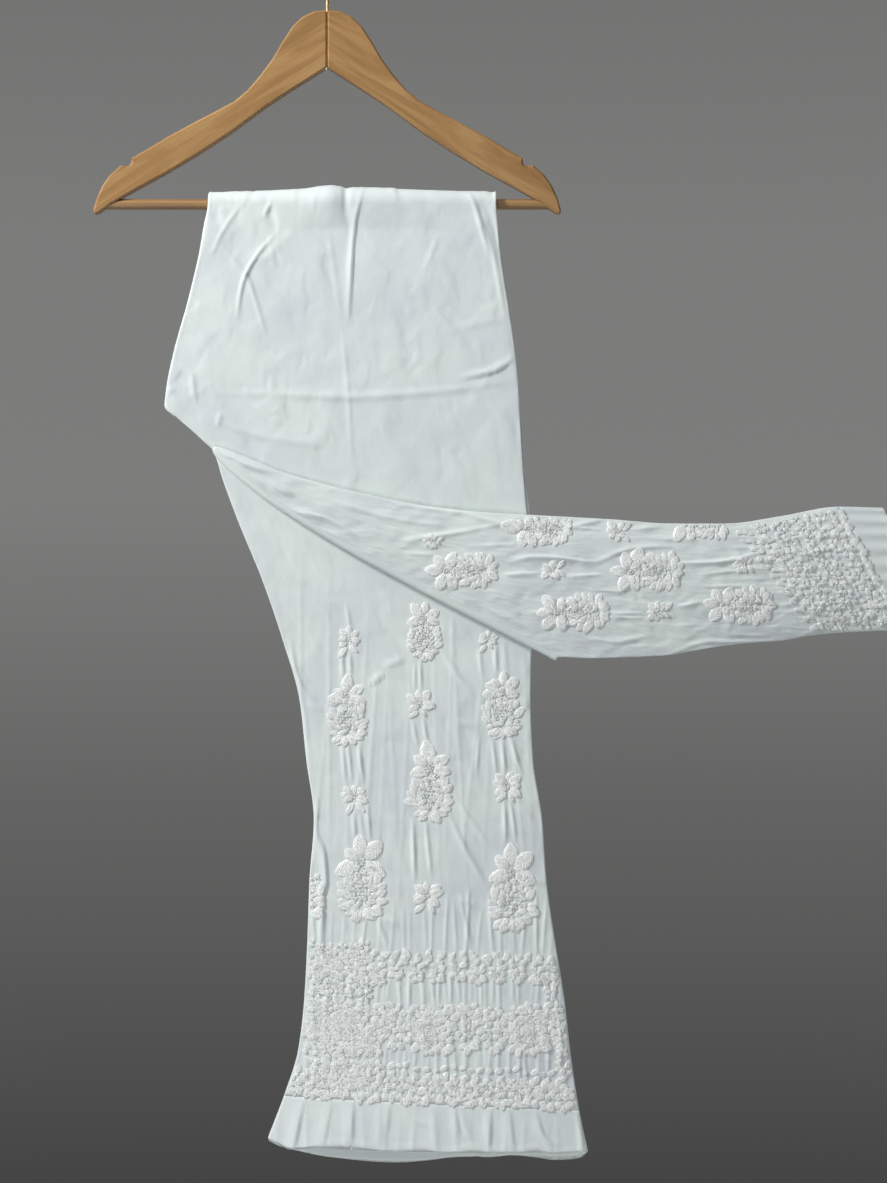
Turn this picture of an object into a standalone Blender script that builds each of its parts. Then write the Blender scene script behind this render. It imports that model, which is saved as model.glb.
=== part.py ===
# White cotton trousers with raised floral stitching, folded in half over the bar of a wooden hanger.
# The near leg (the wearer's right) is turned over along a slanting fold and lies out to the side.
# The origin is the top of the hook's inside. +X is the viewer's right, -Y faces the viewer, +Z is up.
# All values are in millimetres, and MM turns them into Blender's metres where a mesh is made.

import math
from collections import namedtuple

import bmesh
import bpy
import numpy as np

MM = 0.001

# Cloth
WALL = 1.2  # thickness of every cloth wall
SEAM = 0.3  # gap between two pieces that are sewn together
LAYER = 1.0  # half the distance between the two walls of a leg where it lies flat
FRONT_FACING = (0.0, -1.0, 0.0)
BACK_FACING = (0.0, 1.0, 0.0)

# Hanger
BAR_DROP = 254.0  # from the origin down to the bar's centre line
BAR_RADIUS = 5.0
BAR_LEFT = -208.0
BAR_RIGHT = 212.0
ARM_THICK = 13.0
HOOK_INSIDE = 20.0  # radius of the hook's inside
WIRE = 1.7  # radius of the hook's wire
STEM_BOTTOM = 92.0
SOCKET_GAP = 0.3

# Distance of each leg's middle surface from the bar's centre line
FAR_DEPTH = 7.0
NEAR_DEPTH = 11.0
FAR_DEPTH_WAIST = 11.0
NEAR_DEPTH_WAIST = 23.0
LAYER_WAIST = 4.0
WAIST_DROP = 345.0
WAISTBAND_HEIGHT = 34.0
WAISTBAND_WALL = 1.6
INNER_TUCK = 3.5  # the centre front seam lies this far inside the centre back seam

# Hip, shared by both legs: the part behind the bar, then the part in front down to the crotch
HipRow = namedtuple("HipRow", "drop left right")
HIP_BEHIND = (
    HipRow(WAIST_DROP, -78, 118),
    HipRow(320, -87, 129),
    HipRow(295, -97, 141),
    HipRow(272, -107, 153),
    HipRow(BAR_DROP, -113, 160.5),
)
HIP_FRONT = (
    HipRow(BAR_DROP, -113, 160.5),
    HipRow(275, -117, 162),
    HipRow(299, -121, 164),
    HipRow(346, -132, 171),
    HipRow(393, -145, 178),
    HipRow(426, -152, 181.5),
    HipRow(445, -154, 182.5),
)
ARC_STEPS = 8  # stretches of cloth round the upper half of the bar
JOIN_ROWS = (1.0, 0.5)  # how far the legs are still one garment in the last two hip rows

# The hanging left leg, from under the crotch to its hem
LegRow = namedtuple("LegRow", "left left_drop right right_drop depth edge middle extra")
LEFT_LEG = (
    LegRow(-127, 468, 185, 468, 7.0, 1.0, 1.0, 0),
    LegRow(-108, 489, 186, 489, 7.0, 1.0, 1.0, 0),
    LegRow(-99, 516, 188, 516, 7.0, 1.0, 1.0, 0),
    LegRow(-85, 554, 193, 554, 7.0, 1.0, 1.0, 0),
    LegRow(-62, 610, 195.5, 610, 7.0, 1.0, 1.0, 0),
    LegRow(-42.5, 667, 194, 667, 7.0, 1.0, 1.0, 1),
    LegRow(-26.5, 724, 193, 724, 7.2, 1.0, 1.6, 1),
    LegRow(-20, 781, 195.5, 781, 7.6, 1.1, 2.6, 1),
    LegRow(-13, 837, 204, 837, 8.0, 1.2, 3.4, 1),
    LegRow(-17, 894, 208, 894, 8.4, 1.3, 4.2, 1),
    LegRow(-19, 951, 216, 951, 8.8, 1.4, 5.0, 2),
    LegRow(-22, 1007, 225, 1007, 9.2, 1.5, 5.8, 2),
    LegRow(-27.5, 1054, 231, 1060, 9.6, 1.6, 6.6, 1),
    LegRow(-41, 1098, 239, 1112, 10.0, 1.7, 7.4, 1),
    LegRow(-56, 1139, 247, 1151, 10.4, 1.8, 8.6, 0),
)

# The right leg's thigh, which lies on the left leg down to the slanting fold
THIGH = (
    LegRow(-142, 457, 186, 505, 11.0, 1.0, 1.0, 0),
    LegRow(-131, 466, 192, 568, 11.0, 1.0, 1.0, 0),
    LegRow(-119, 475, 203, 629, 11.0, 1.0, 1.0, 0),
)
THIGH_SAG = (0.1, 0.4, 0.8)  # each row's share of the fold's sag
FOLD_LEFT = (-108.0, 488.0)  # x and drop of the fold's ends, as it shows
FOLD_RIGHT = (216.0, 687.5)
FOLD_SAG = 50.0  # scale of the bow by which the fold hangs below the line between its ends
FOLD_RADIUS = 3.2  # of the leg's middle surface
FOLD_STEPS = 6

# The swung stretch of the right leg: its left edge is the upper one, the inseam
SWUNG_SAG = (0.7, 0.4, 0.15)  # the first rows' shares of the fold's sag
SWUNG = (
    LegRow(-33, 511, 250, 684.5, 18.2, 1.1, 2.4, 0),
    LegRow(36, 529, 284, 683.5, 19.4, 1.2, 3.8, 1),
    LegRow(97, 541, 317, 682, 20.0, 1.3, 4.8, 1),
    LegRow(154, 547, 349, 677, 20.0, 1.4, 5.6, 1),
    LegRow(211, 550, 373, 673, 19.6, 1.4, 6.2, 1),
    LegRow(267, 553, 400, 670, 18.6, 1.5, 6.6, 1),
    LegRow(324, 557, 429, 668, 17.4, 1.5, 7.0, 1),
    LegRow(376, 557, 458, 663, 16.2, 1.6, 7.2, 1),
    LegRow(428, 550, 494, 660, 15.2, 1.6, 7.4, 1),
    LegRow(483, 541, 546, 658, 14.4, 1.7, 7.8, 1),
    LegRow(525, 542, 589, 656, 14.0, 1.8, 8.4, 0),
)

# Soft ridges in a wall, from one end to the other: width is the distance over which one fades
Ridge = namedtuple("Ridge", "x0 drop0 x1 drop1 width height")
HIP_RIDGES = (
    Ridge(-62, 250, -44, 330, 15, 3.4),
    Ridge(-84, 296, -30, 348, 13, 2.8),
    Ridge(-30, 345, -18, 420, 14, 1.8),
    Ridge(-12, 296, -64, 402, 13, 2.6),
    Ridge(24, 240, 20, 455, 15, 2.6),
    Ridge(-92, 427, 178, 428, 13, 1.8),
    Ridge(150, 256, 172, 404, 13, 2.2),
    Ridge(-150, 408, -60, 428, 13, 2.2),
    Ridge(90, 262, 118, 400, 17, 1.4),
)
SWUNG_RIDGES = (
    Ridge(10, 545, 190, 620, 8, 2.2),
    Ridge(60, 560, 220, 575, 7, 2.0),
    Ridge(160, 565, 400, 572, 7, 2.4),
    Ridge(150, 640, 330, 655, 8, 2.2),
    Ridge(250, 600, 430, 618, 7, 2.2),
    Ridge(330, 585, 480, 575, 7, 2.0),
    Ridge(330, 640, 520, 640, 7, 2.0),
    Ridge(-60, 520, 60, 560, 8, 1.6),
)
LEG_RIDGES = (
    Ridge(58, 740, 54, 1095, 14, 2.4),
    Ridge(132, 720, 140, 1095, 14, 2.4),
    Ridge(-4, 860, -16, 1095, 13, 2.2),
    Ridge(188, 760, 208, 1095, 13, 2.4),
    Ridge(96, 840, 98, 1095, 12, 1.8),
)
REAR_RIDGES = (
    Ridge(80, 480, 92, 1090, 16, 1.6),
    Ridge(20, 620, 22, 1090, 15, 1.8),
    Ridge(150, 520, 168, 1090, 14, 1.6),
    Ridge(-90, 430, 150, 440, 12, 1.2),
)

# Raised stitching: sprays, small flowers and bands, each lying in a leg's own face
Spray = namedtuple("Spray", "x drop half_width half_height")
STITCH_HEIGHT = 1.8
LEFT_SPRAYS = (
    Spray(92, 661, 22, 34),
    Spray(19, 731, 22, 36),
    Spray(166, 726, 24, 34),
    Spray(97, 800, 23, 36),
    Spray(33, 894, 24, 40),
    Spray(175, 899, 27, 42),
    Spray(-10, 912, 9, 42),
    Spray(19, 670, 14, 13),
    Spray(152, 658, 13, 12),
    Spray(88, 729, 14, 13),
    Spray(26, 816, 14, 14),
    Spray(171, 807, 15, 14),
    Spray(95, 910, 16, 18),
)
RIGHT_SPRAYS = (
    Spray(121, 606, 34, 22),
    Spray(190, 563, 30, 14),
    Spray(232, 636, 34, 20),
    Spray(303, 604, 38, 20),
    Spray(352, 563, 34, 15),
    Spray(376, 629, 34, 20),
    Spray(213, 601, 14, 11),
    Spray(275, 565, 15, 10),
    Spray(317, 641, 14, 11),
    Spray(384, 609, 14, 10),
)
Band = namedtuple("Band", "left_drop right_drop height")
LEFT_BANDS = (Band(974, 978, 28), Band(1030, 1034, 50), Band(1080, 1094, 32))
SWUNG_BANDS = ((0.745, 0.030), (0.830, 0.060), (0.915, 0.045))  # share of the swung length, half width

# Pleats of a hem band: place across it, half width as a share of it, and height
Pleat = namedtuple("Pleat", "place width height")
HEM_PLEATS = (
    Pleat(0.09, 0.020, 2.6),
    Pleat(0.18, 0.018, 3.0),
    Pleat(0.27, 0.022, 2.4),
    Pleat(0.36, 0.016, 3.2),
    Pleat(0.43, 0.018, 2.6),
    Pleat(0.60, 0.022, 3.0),
    Pleat(0.71, 0.018, 3.2),
    Pleat(0.78, 0.016, 2.4),
    Pleat(0.89, 0.020, 2.8),
)
HEM_BOW_FRONT = 18.0  # scale of the bow by which a hem's edge hangs below the line between its ends
HEM_BOW_BACK = 52.0
WAIST_GATHERS = 8
WAIST_FLUTES = 5

FRONT_COLUMNS = 21
HIP_COLUMNS = 17
BACK_COLUMNS = 12
HEM_COLUMNS = 31
WAIST_COLUMNS = 33

Sections = namedtuple("Sections", "left right normal edge middle join spread sag")
FOLD_WAY = np.array([FOLD_RIGHT[0] - FOLD_LEFT[0], 0.0, FOLD_LEFT[1] - FOLD_RIGHT[1]])
FOLD_LENGTH = np.linalg.norm(FOLD_WAY)
FOLD_WAY = FOLD_WAY / FOLD_LENGTH
FOLD_OUTWARD = np.array([FOLD_WAY[2], 0.0, -FOLD_WAY[0]])  # down and to the left, square to the fold
NO_SAG = np.zeros(3)


def sag_profile(share):
    """How far a fold hangs at each share of its length: quickly down near the crotch, then slowly back."""
    share = np.clip(share, 0, 1)
    return share**0.6 * (1 - share) ** 1.3


def point(x, depth, drop):
    return np.array([x, -depth, -drop])


def section_rows(rows):
    """Sections from a list of (left, right, normal, edge, middle, join, spread, sag)."""
    return Sections(*(np.array(column, float) for column in zip(*rows)))


def hip_sections(depth, depth_waist):
    """The hip of one leg: up behind the bar, round it and down to the crotch."""
    rows = []
    half_apart = (NEAR_DEPTH - FAR_DEPTH) / 2
    half_apart_waist = (NEAR_DEPTH_WAIST - FAR_DEPTH_WAIST) / 2
    for row in HIP_BEHIND:
        share = (row.drop - BAR_DROP) / (WAIST_DROP - BAR_DROP)
        behind = depth + (depth_waist - depth) * share
        half = LAYER + (LAYER_WAIST - LAYER) * share
        spread = half_apart + (half_apart_waist - half_apart) * share
        ends = [point(x, -behind, row.drop) for x in (row.left, row.right)]
        rows.append((*ends, BACK_FACING, half, half, 1.0, spread, NO_SAG))
    top = HIP_FRONT[0]
    for step in range(1, ARC_STEPS):
        turn = math.pi * step / ARC_STEPS
        normal = np.array([0.0, math.cos(turn), math.sin(turn)])
        ends = [point(x, 0.0, BAR_DROP) + depth * normal for x in (top.left, top.right)]
        rows.append((*ends, normal, LAYER, LAYER, 1.0, half_apart, NO_SAG))
    joins = [1.0] * (len(HIP_FRONT) - len(JOIN_ROWS)) + list(JOIN_ROWS)
    for row, join in zip(HIP_FRONT, joins):
        ends = [point(x, depth, row.drop) for x in (row.left, row.right)]
        rows.append((*ends, FRONT_FACING, LAYER, LAYER, join, half_apart, NO_SAG))
    return rows


def leg_row(row, normal, sag_share=0.0):
    left = point(row.left, row.depth, row.left_drop)
    right = point(row.right, row.depth, row.right_drop)
    spread = (NEAR_DEPTH - FAR_DEPTH) / 2
    return (left, right, normal, row.edge, row.middle, 0.0, spread, sag_share * FOLD_SAG * FOLD_OUTWARD)


def with_extra(before, table, normal, sags=()):
    """Rows of a table, with the extra rows that it asks for read from a smooth curve through its own rows."""
    sags = list(sags) + [0.0] * (len(table) - len(sags))
    keys = [before] + [leg_row(row, normal, sag) for row, sag in zip(table, sags)]
    flat = np.array([np.concatenate([np.ravel(value) for value in key]) for key in keys])
    slopes = np.gradient(flat, axis=0)
    out = []
    for i, row in enumerate(table):
        out.append(keys[i + 1])
        if i + 1 == len(table):
            break
        for k in range(1, row.extra + 1):
            t = k / (row.extra + 1)
            a, b, ma, mb = flat[i + 1], flat[i + 2], slopes[i + 1], slopes[i + 2]
            mid = (
                (2 * t**3 - 3 * t**2 + 1) * a
                + (t**3 - 2 * t**2 + t) * ma
                + (3 * t**2 - 2 * t**3) * b
                + (t**3 - t**2) * mb
            )
            out.append((mid[0:3], mid[3:6], normal, mid[9], mid[10], 0.0, mid[12], mid[13:16]))
    return out


def fold_sections():
    """The turn of the right leg: a half circle about the slanting fold, towards the viewer."""
    left = point(FOLD_LEFT[0], NEAR_DEPTH, FOLD_LEFT[1])
    right = point(FOLD_RIGHT[0], NEAR_DEPTH, FOLD_RIGHT[1])
    outermost = FOLD_RADIUS + LAYER + WALL / 2
    sag = FOLD_SAG * FOLD_OUTWARD
    rows = []
    for step in range(FOLD_STEPS + 1):
        turn = math.pi * step / FOLD_STEPS
        swing = (FOLD_RADIUS * math.sin(turn) - outermost) * FOLD_OUTWARD
        swing = swing + FOLD_RADIUS * (1 - math.cos(turn)) * np.array(FRONT_FACING)
        normal = math.cos(turn) * np.array(FRONT_FACING) - math.sin(turn) * FOLD_OUTWARD
        rows.append((left + swing, right + swing, normal, LAYER, LAYER, 0.0, LAYER, sag))
    return rows


def left_leg():
    hip = hip_sections(FAR_DEPTH, FAR_DEPTH_WAIST)
    return section_rows(hip + with_extra(hip[-1], LEFT_LEG, FRONT_FACING))


def right_leg():
    """The right leg's sections, and the number of the row where the swung stretch starts."""
    hip = hip_sections(NEAR_DEPTH, NEAR_DEPTH_WAIST)
    thigh = [leg_row(row, FRONT_FACING, sag) for row, sag in zip(THIGH, THIGH_SAG)]
    fold = fold_sections()
    swung = with_extra(fold[-1], SWUNG, BACK_FACING, SWUNG_SAG)
    rows = hip + thigh + fold
    return section_rows(rows + swung), len(rows) - 1


def piece_of(sections, first, last, cut_first, cut_last):
    """The rows from first to last, pulled back by half a seam's gap at the ends that are cut."""
    part = Sections(*(column[first : last + 1].copy() for column in sections))
    for ends in (part.left, part.right):
        for cut, end, inner in ((cut_first, 0, 1), (cut_last, -1, -2)):
            if cut:
                way = ends[inner] - ends[end]
                ends[end] += way / np.linalg.norm(way) * SEAM / 2
    return part


def bowed(rows, depth):
    """A hem band whose lower edge hangs deeper between its two ends."""
    share = np.linspace(0, 1, len(rows.edge))[:, None]
    return rows._replace(sag=share * np.array([0.0, 0.0, -depth]))


def centre_line(rows, outer, columns):
    """A panel's centre line in each section, as distance across, distance from the leg's middle, and tangent.

    Flat between two rounded edges. Both edges turn in to meet the leg's other panel, but above the crotch the
    left edge turns the other way, to meet the same panel of the other leg.
    """
    count = len(rows.edge)
    width = np.linalg.norm(rows.right - rows.left, axis=1)
    start, stop = WALL / 2, width - WALL / 2
    edge, middle, join, spread = (v[:, None] for v in (rows.edge, rows.middle, rows.join, rows.spread))
    bend = np.array([[0.0, math.pi / 4]])
    seam_side = SEAM / 2

    rise_right = edge - seam_side
    round_right = np.sqrt(0.9 * rise_right)
    right_a = stop[:, None] - round_right * (1 - np.cos(bend))
    right_b = seam_side + rise_right * np.sin(bend)
    right_t = np.stack([round_right * np.sin(bend), -rise_right * np.cos(bend)], axis=-1)
    right_a, right_b, right_t = right_a[:, ::-1], right_b[:, ::-1], right_t[:, ::-1]

    if outer:
        low = seam_side * (1 - join) + (seam_side - spread) * join
        rise = edge - low
        round_left = np.sqrt(0.9 * rise)
        left_a = start + round_left * (1 - np.cos(bend))
        left_b = low + rise * np.sin(bend)
        left_t = np.stack([round_left * np.sin(bend), rise * np.cos(bend)], axis=-1)
        flat_from = start + round_left
    else:
        round_left = np.where(join > 0.5, spread - seam_side - edge, edge - seam_side)
        turn = math.pi / 2 * (1 - 2 * join)
        length = round_left * math.pi / 2
        back = np.array([[1.0, 0.5]])
        angle = turn * back
        flat_from = start + INNER_TUCK * np.sqrt(join) + round_left
        left_a = flat_from - length * back * np.sinc(angle / math.pi)
        left_b = edge - length * back * (angle / 2) * np.sinc(angle / 2 / math.pi) ** 2
        left_t = np.stack([np.cos(angle), np.sin(angle)], axis=-1)

    share = np.linspace(0, 1, columns)[None, :]
    flat_to = stop[:, None] - round_right
    a = flat_from + (flat_to - flat_from) * share
    b = edge + (middle - edge) * (1 - np.abs(2 * share - 1) ** 2.5)
    t = np.stack([np.gradient(a, axis=1), np.gradient(b, axis=1)], axis=-1)
    a = np.concatenate([left_a, a, right_a], axis=1)
    b = np.concatenate([left_b, b, right_b], axis=1)
    t = np.concatenate([left_t, t, right_t], axis=1)
    t = t / np.linalg.norm(t, axis=2, keepdims=True)
    assert a.shape == (count, columns + 4)
    return a, b, t


def ridge_heights(x, drop, ridges):
    """The height of the highest ridge at each point: a bell across each line, rounded off at its ends."""
    height = np.zeros_like(x)
    for r in ridges:
        start = np.array([r.x0, r.drop0])
        way = np.array([r.x1, r.drop1]) - start
        along = ((x - start[0]) * way[0] + (drop - start[1]) * way[1]) / (way @ way)
        nearest = np.clip(along, 0, 1)
        off = np.hypot(x - start[0] - nearest * way[0], drop - start[1] - nearest * way[1])
        taper = 0.35 + 0.65 * np.sin(math.pi * nearest)
        height = np.maximum(height, r.height * taper * np.exp(-((off / r.width) ** 2)))
    return height


def spray_mask(x, drop, sprays):
    """1 inside a spray and 0 well outside it, with a soft rim."""
    mask = np.zeros_like(x)
    for s in sprays:
        reach = ((x - s.x) / s.half_width) ** 2 + ((drop - s.drop) / s.half_height) ** 2
        mask = np.maximum(mask, np.exp(-(reach**2) * 0.7))
    return mask


def band_mask(x, drop, bands):
    """1 along a stitched band, whose rims are scalloped."""
    mask = np.zeros_like(x)
    left, right = LEFT_LEG[9].left, LEFT_LEG[9].right
    for band in bands:
        centre = band.left_drop + (band.right_drop - band.left_drop) * (x - left) / (right - left)
        half = band.height / 2 * (1 + 0.12 * np.cos(x / 26 * 2 * math.pi))
        mask = np.maximum(mask, np.exp(-(((drop - centre) / half) ** 4)))
    return mask


def below_fold(x, drop):
    """0 under the turned leg and 1 well clear of its fold."""
    x_off, z_off = x - FOLD_LEFT[0], FOLD_LEFT[1] - drop
    along = x_off * FOLD_WAY[0] + z_off * FOLD_WAY[2]
    off = x_off * FOLD_OUTWARD[0] + z_off * FOLD_OUTWARD[2]
    off = off - FOLD_SAG * sag_profile(along / FOLD_LENGTH)
    return np.clip((off - 3) / 12, 0, 1)


def swung_bands(down):
    """1 along the stitched bands of the swung leg, which run along its rows."""
    length = np.clip((down - FOLD_ROW) / (len(RIGHT.edge) - 1 - FOLD_ROW), 0, 1)
    mask = np.zeros_like(down)
    for middle, half in SWUNG_BANDS:
        mask = np.maximum(mask, np.exp(-(((length - middle) / half) ** 4)))
    return mask


def left_front_relief(a, place, share, down):
    x, drop = place[..., 0], -place[..., 2]
    free = below_fold(x, drop)
    fold = ridge_heights(x, drop, LEG_RIDGES) * free
    stitch = np.maximum(spray_mask(x, drop, LEFT_SPRAYS), band_mask(x, drop, LEFT_BANDS))
    return fold, STITCH_HEIGHT * stitch * free


def left_back_relief(a, place, share, down):
    x, y, drop = place[..., 0], place[..., 1], -place[..., 2]
    free = (y < 0) & (drop > 400)
    bands = band_mask(x, drop, LEFT_BANDS)
    return ridge_heights(x, drop, REAR_RIDGES) * free, STITCH_HEIGHT * bands * free


def right_back_relief(a, place, share, down):
    x, y, drop = place[..., 0], place[..., 1], -place[..., 2]
    hip = (down < FOLD_ROW) & (y < 0)
    fade = np.clip(1.6 - 1.6 * down / FOLD_ROW, 0, 1)
    gathers = np.clip((-1 - y) / -22, 0, 1) * (y > 0)
    flutes = 1.2 * gathers * (0.5 - 0.5 * np.cos(2 * math.pi * WAIST_FLUTES * share))
    fold = np.where(hip, ridge_heights(x, drop, HIP_RIDGES) * fade, flutes)
    return fold, STITCH_HEIGHT * swung_bands(down)


def right_front_relief(a, place, share, down):
    x, drop = place[..., 0], -place[..., 2]
    swung = np.clip((down - FOLD_ROW) / 2, 0, 1)
    stitch = np.maximum(spray_mask(x, drop, RIGHT_SPRAYS), swung_bands(down))
    return ridge_heights(x, drop, SWUNG_RIDGES) * swung, STITCH_HEIGHT * stitch * swung


def hem_relief(a, place, share, down):
    """Pleats that open from the hem's seam to its edge."""
    height = np.zeros_like(a)
    for p in HEM_PLEATS:
        height = height + p.height * np.exp(-(((share - p.place) / p.width) ** 2))
    return height * down / down.max(), np.zeros_like(a)


def no_relief(a, place, share, down):
    return np.zeros_like(a), np.zeros_like(a)


def panel_walls(rows, outer, away, columns, relief, first=0):
    """The outside and inside points of a panel. away is 1 where the normal points away from the other leg.
    first is the number that the panel's first row has on its leg."""
    a, b, tangent = centre_line(rows, outer, columns)
    across = rows.right - rows.left
    across = across / np.linalg.norm(across, axis=1, keepdims=True)
    side = 1 if outer else -1
    normal = rows.normal * away * side

    width = np.linalg.norm(rows.right - rows.left, axis=1)[:, None]

    def at(a, b):
        flat = rows.left[:, None] + across[:, None] * a[..., None] + normal[:, None] * b[..., None]
        return flat + rows.sag[:, None] * sag_profile(a / width)[..., None]

    down = np.repeat(first + np.arange(len(rows.edge), dtype=float)[:, None], a.shape[1], axis=1)
    fold, stitch = relief(a, at(a, b), a / width, down)
    from_edge = np.clip((np.minimum(a, width - a) - 2) / 8, 0, 1)
    fold, stitch = fold * from_edge, stitch * from_edge
    out_a, out_b = -tangent[..., 1], tangent[..., 0]
    outside = WALL / 2 + fold + stitch
    inside = -WALL / 2 + fold
    return at(a + out_a * outside, b + out_b * outside), at(a + out_a * inside, b + out_b * inside)


def wall_mesh(outside, inside, closed=False):
    """Points and faces of a wall between two grids, with its rims. closed joins the last column to the
    first."""
    count, columns = outside.shape[:2]
    points = np.concatenate([outside.reshape(-1, 3), inside.reshape(-1, 3)])
    number = np.arange(count * columns).reshape(count, columns)
    ahead = np.roll(number, -1, axis=1) if closed else number[:, 1:]
    here = number if closed else number[:, :-1]
    back = count * columns
    quads = [
        np.stack([here[:-1], ahead[:-1], ahead[1:], here[1:]], axis=-1),
        np.stack([here[:-1], here[1:], ahead[1:], ahead[:-1]], axis=-1) + back,
        np.stack([here[0], here[0] + back, ahead[0] + back, ahead[0]], axis=-1),
        np.stack([here[-1], ahead[-1], ahead[-1] + back, here[-1] + back], axis=-1),
    ]
    if not closed:
        for column, turn in ((number[:, 0], 1), (number[:, -1], -1)):
            rim = np.stack([column[:-1], column[1:], column[1:] + back, column[:-1] + back], axis=-1)
            quads.append(rim[:, ::turn])
    faces = np.concatenate([q.reshape(-1, 4) for q in quads])
    triangles = np.concatenate([faces[:, [0, 1, 2]], faces[:, [0, 2, 3]]])
    corner = points[triangles]
    volume = np.einsum("ij,ij->", corner[:, 0], np.cross(corner[:, 1], corner[:, 2]))
    return points, faces if volume > 0 else faces[:, ::-1]


def material(name, color, roughness, metallic=0.0):
    made = bpy.data.materials.new(name)
    made.use_nodes = True
    shader = made.node_tree.nodes["Principled BSDF"]
    shader.inputs["Base Color"].default_value = (*color, 1)
    shader.inputs["Roughness"].default_value = roughness
    shader.inputs["Metallic"].default_value = metallic
    made.diffuse_color = (*color, 1)
    return made


def add_mesh(name, points, faces, look, collection):
    mesh = bpy.data.meshes.new(name)
    mesh.from_pydata((points * MM).tolist(), [], faces.tolist())
    mesh.validate()
    mesh.shade_smooth()
    mesh.set_sharp_from_angle(angle=math.radians(40))
    mesh.materials.append(look)
    made = bpy.data.objects.new(name, mesh)
    collection.objects.link(made)
    return made


def add_panel(name, rows, outer, away, columns, relief, look, collection, first=0):
    outside, inside = panel_walls(rows, outer, away, columns, relief, first)
    points, faces = wall_mesh(outside, inside)
    return add_mesh(name, points, faces, look, collection)


def add_waistband(look, collection):
    """One closed loop round the waist: out along one panel of each leg and back along the next."""
    loop = []
    for sections, away, outer, forward in (
        (RIGHT, 1, True, True),
        (RIGHT, 1, False, False),
        (LEFT, -1, False, True),
        (LEFT, -1, True, False),
    ):
        rows = piece_of(sections, 0, 1, False, False)
        a, b, _ = centre_line(rows, outer, WAIST_COLUMNS)
        a, b = a[0], b[0]
        side = away if outer else -away
        wave = np.zeros_like(a)
        share = np.linspace(0, 1, WAIST_COLUMNS)
        wave[2:-2] = 0.5 - 0.5 * np.cos(2 * math.pi * WAIST_GATHERS * share)
        b = b + 0.8 * wave
        x = rows.left[0, 0] + a
        y = rows.left[0, 1] + b * side
        stretch = np.stack([x, y], axis=1)
        stretch = stretch if forward else stretch[::-1]
        loop.append(stretch[:-1])
    loop = np.concatenate(loop)
    ahead, behind = np.roll(loop, -1, axis=0), np.roll(loop, 1, axis=0)
    tangent = ahead - behind
    tangent = tangent / np.linalg.norm(tangent, axis=1, keepdims=True)
    normal = np.stack([-tangent[:, 1], tangent[:, 0]], axis=1)
    top = WAIST_DROP + SEAM / 2
    walls = []
    for offset in (WAISTBAND_WALL / 2, -WAISTBAND_WALL / 2):
        plan = loop + normal * offset
        levels = []
        for level in (0.0, 0.5, 1.0):
            drop = np.full((len(plan), 1), -(top + WAISTBAND_HEIGHT * level))
            levels.append(np.concatenate([plan, drop], axis=1))
        walls.append(np.array(levels))
    points, faces = wall_mesh(walls[0], walls[1], closed=True)
    return add_mesh("waistband", points, faces, look, collection)


# Outline of one hanger arm, from the mitre at the top out to the tip and back underneath
ArmPoint = namedtuple("ArmPoint", "x drop")
ARM_TOP = (
    ArmPoint(0, 70.5),
    ArmPoint(12, 71.5),
    ArmPoint(23, 76.5),
    ArmPoint(33, 86),
    ArmPoint(43, 101.5),
    ArmPoint(52, 117),
    ArmPoint(63, 132),
    ArmPoint(75, 146),
    ArmPoint(88, 157),
    ArmPoint(104, 165.5),
    ArmPoint(124, 176),
    ArmPoint(150, 190),
    ArmPoint(182, 209),
)
ARM_TIP = (
    ArmPoint(198, 220),
    ArmPoint(206, 227),
    ArmPoint(213, 237),
    ArmPoint(218.5, 249),
    ArmPoint(221.5, 260),
    ArmPoint(221, 264),
    ArmPoint(216, 262.5),
)
ARM_UNDER = (
    ArmPoint(202, 252.5),
    ArmPoint(180, 240),
    ArmPoint(155, 226.5),
    ArmPoint(123, 207.5),
    ArmPoint(90, 186),
    ArmPoint(57, 161.5),
    ArmPoint(28, 142.5),
    ArmPoint(0, 125),
)
NOTCH = (190.5, 213.5, 5.2)  # x, drop and radius of the round notch in an arm's upper edge
MITRE_GAP = 0.15


def arm_outline():
    """The arm's outline as (x, drop) points, with the notch as an arc from its near rim to its far rim."""
    x, drop, radius = NOTCH
    turns = np.radians(np.linspace(145, 325, 7))
    notch = [(x + radius * math.cos(t), drop - radius * math.sin(t)) for t in turns]
    outline = [tuple(p) for p in ARM_TOP] + notch + [tuple(p) for p in ARM_TIP + ARM_UNDER]
    return [(max(x, MITRE_GAP), drop) for x, drop in outline]


def cutter(name, radius, length, place, turn, collection):
    bpy.ops.mesh.primitive_cylinder_add(vertices=16, radius=radius * MM, depth=length * MM)
    made = bpy.context.object
    made.name = name
    made.location = [v * MM for v in place]
    made.rotation_euler = turn
    made.hide_render = True
    made.display_type = "WIRE"
    for holder in made.users_collection:
        holder.objects.unlink(made)
    collection.objects.link(made)
    return made


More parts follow.
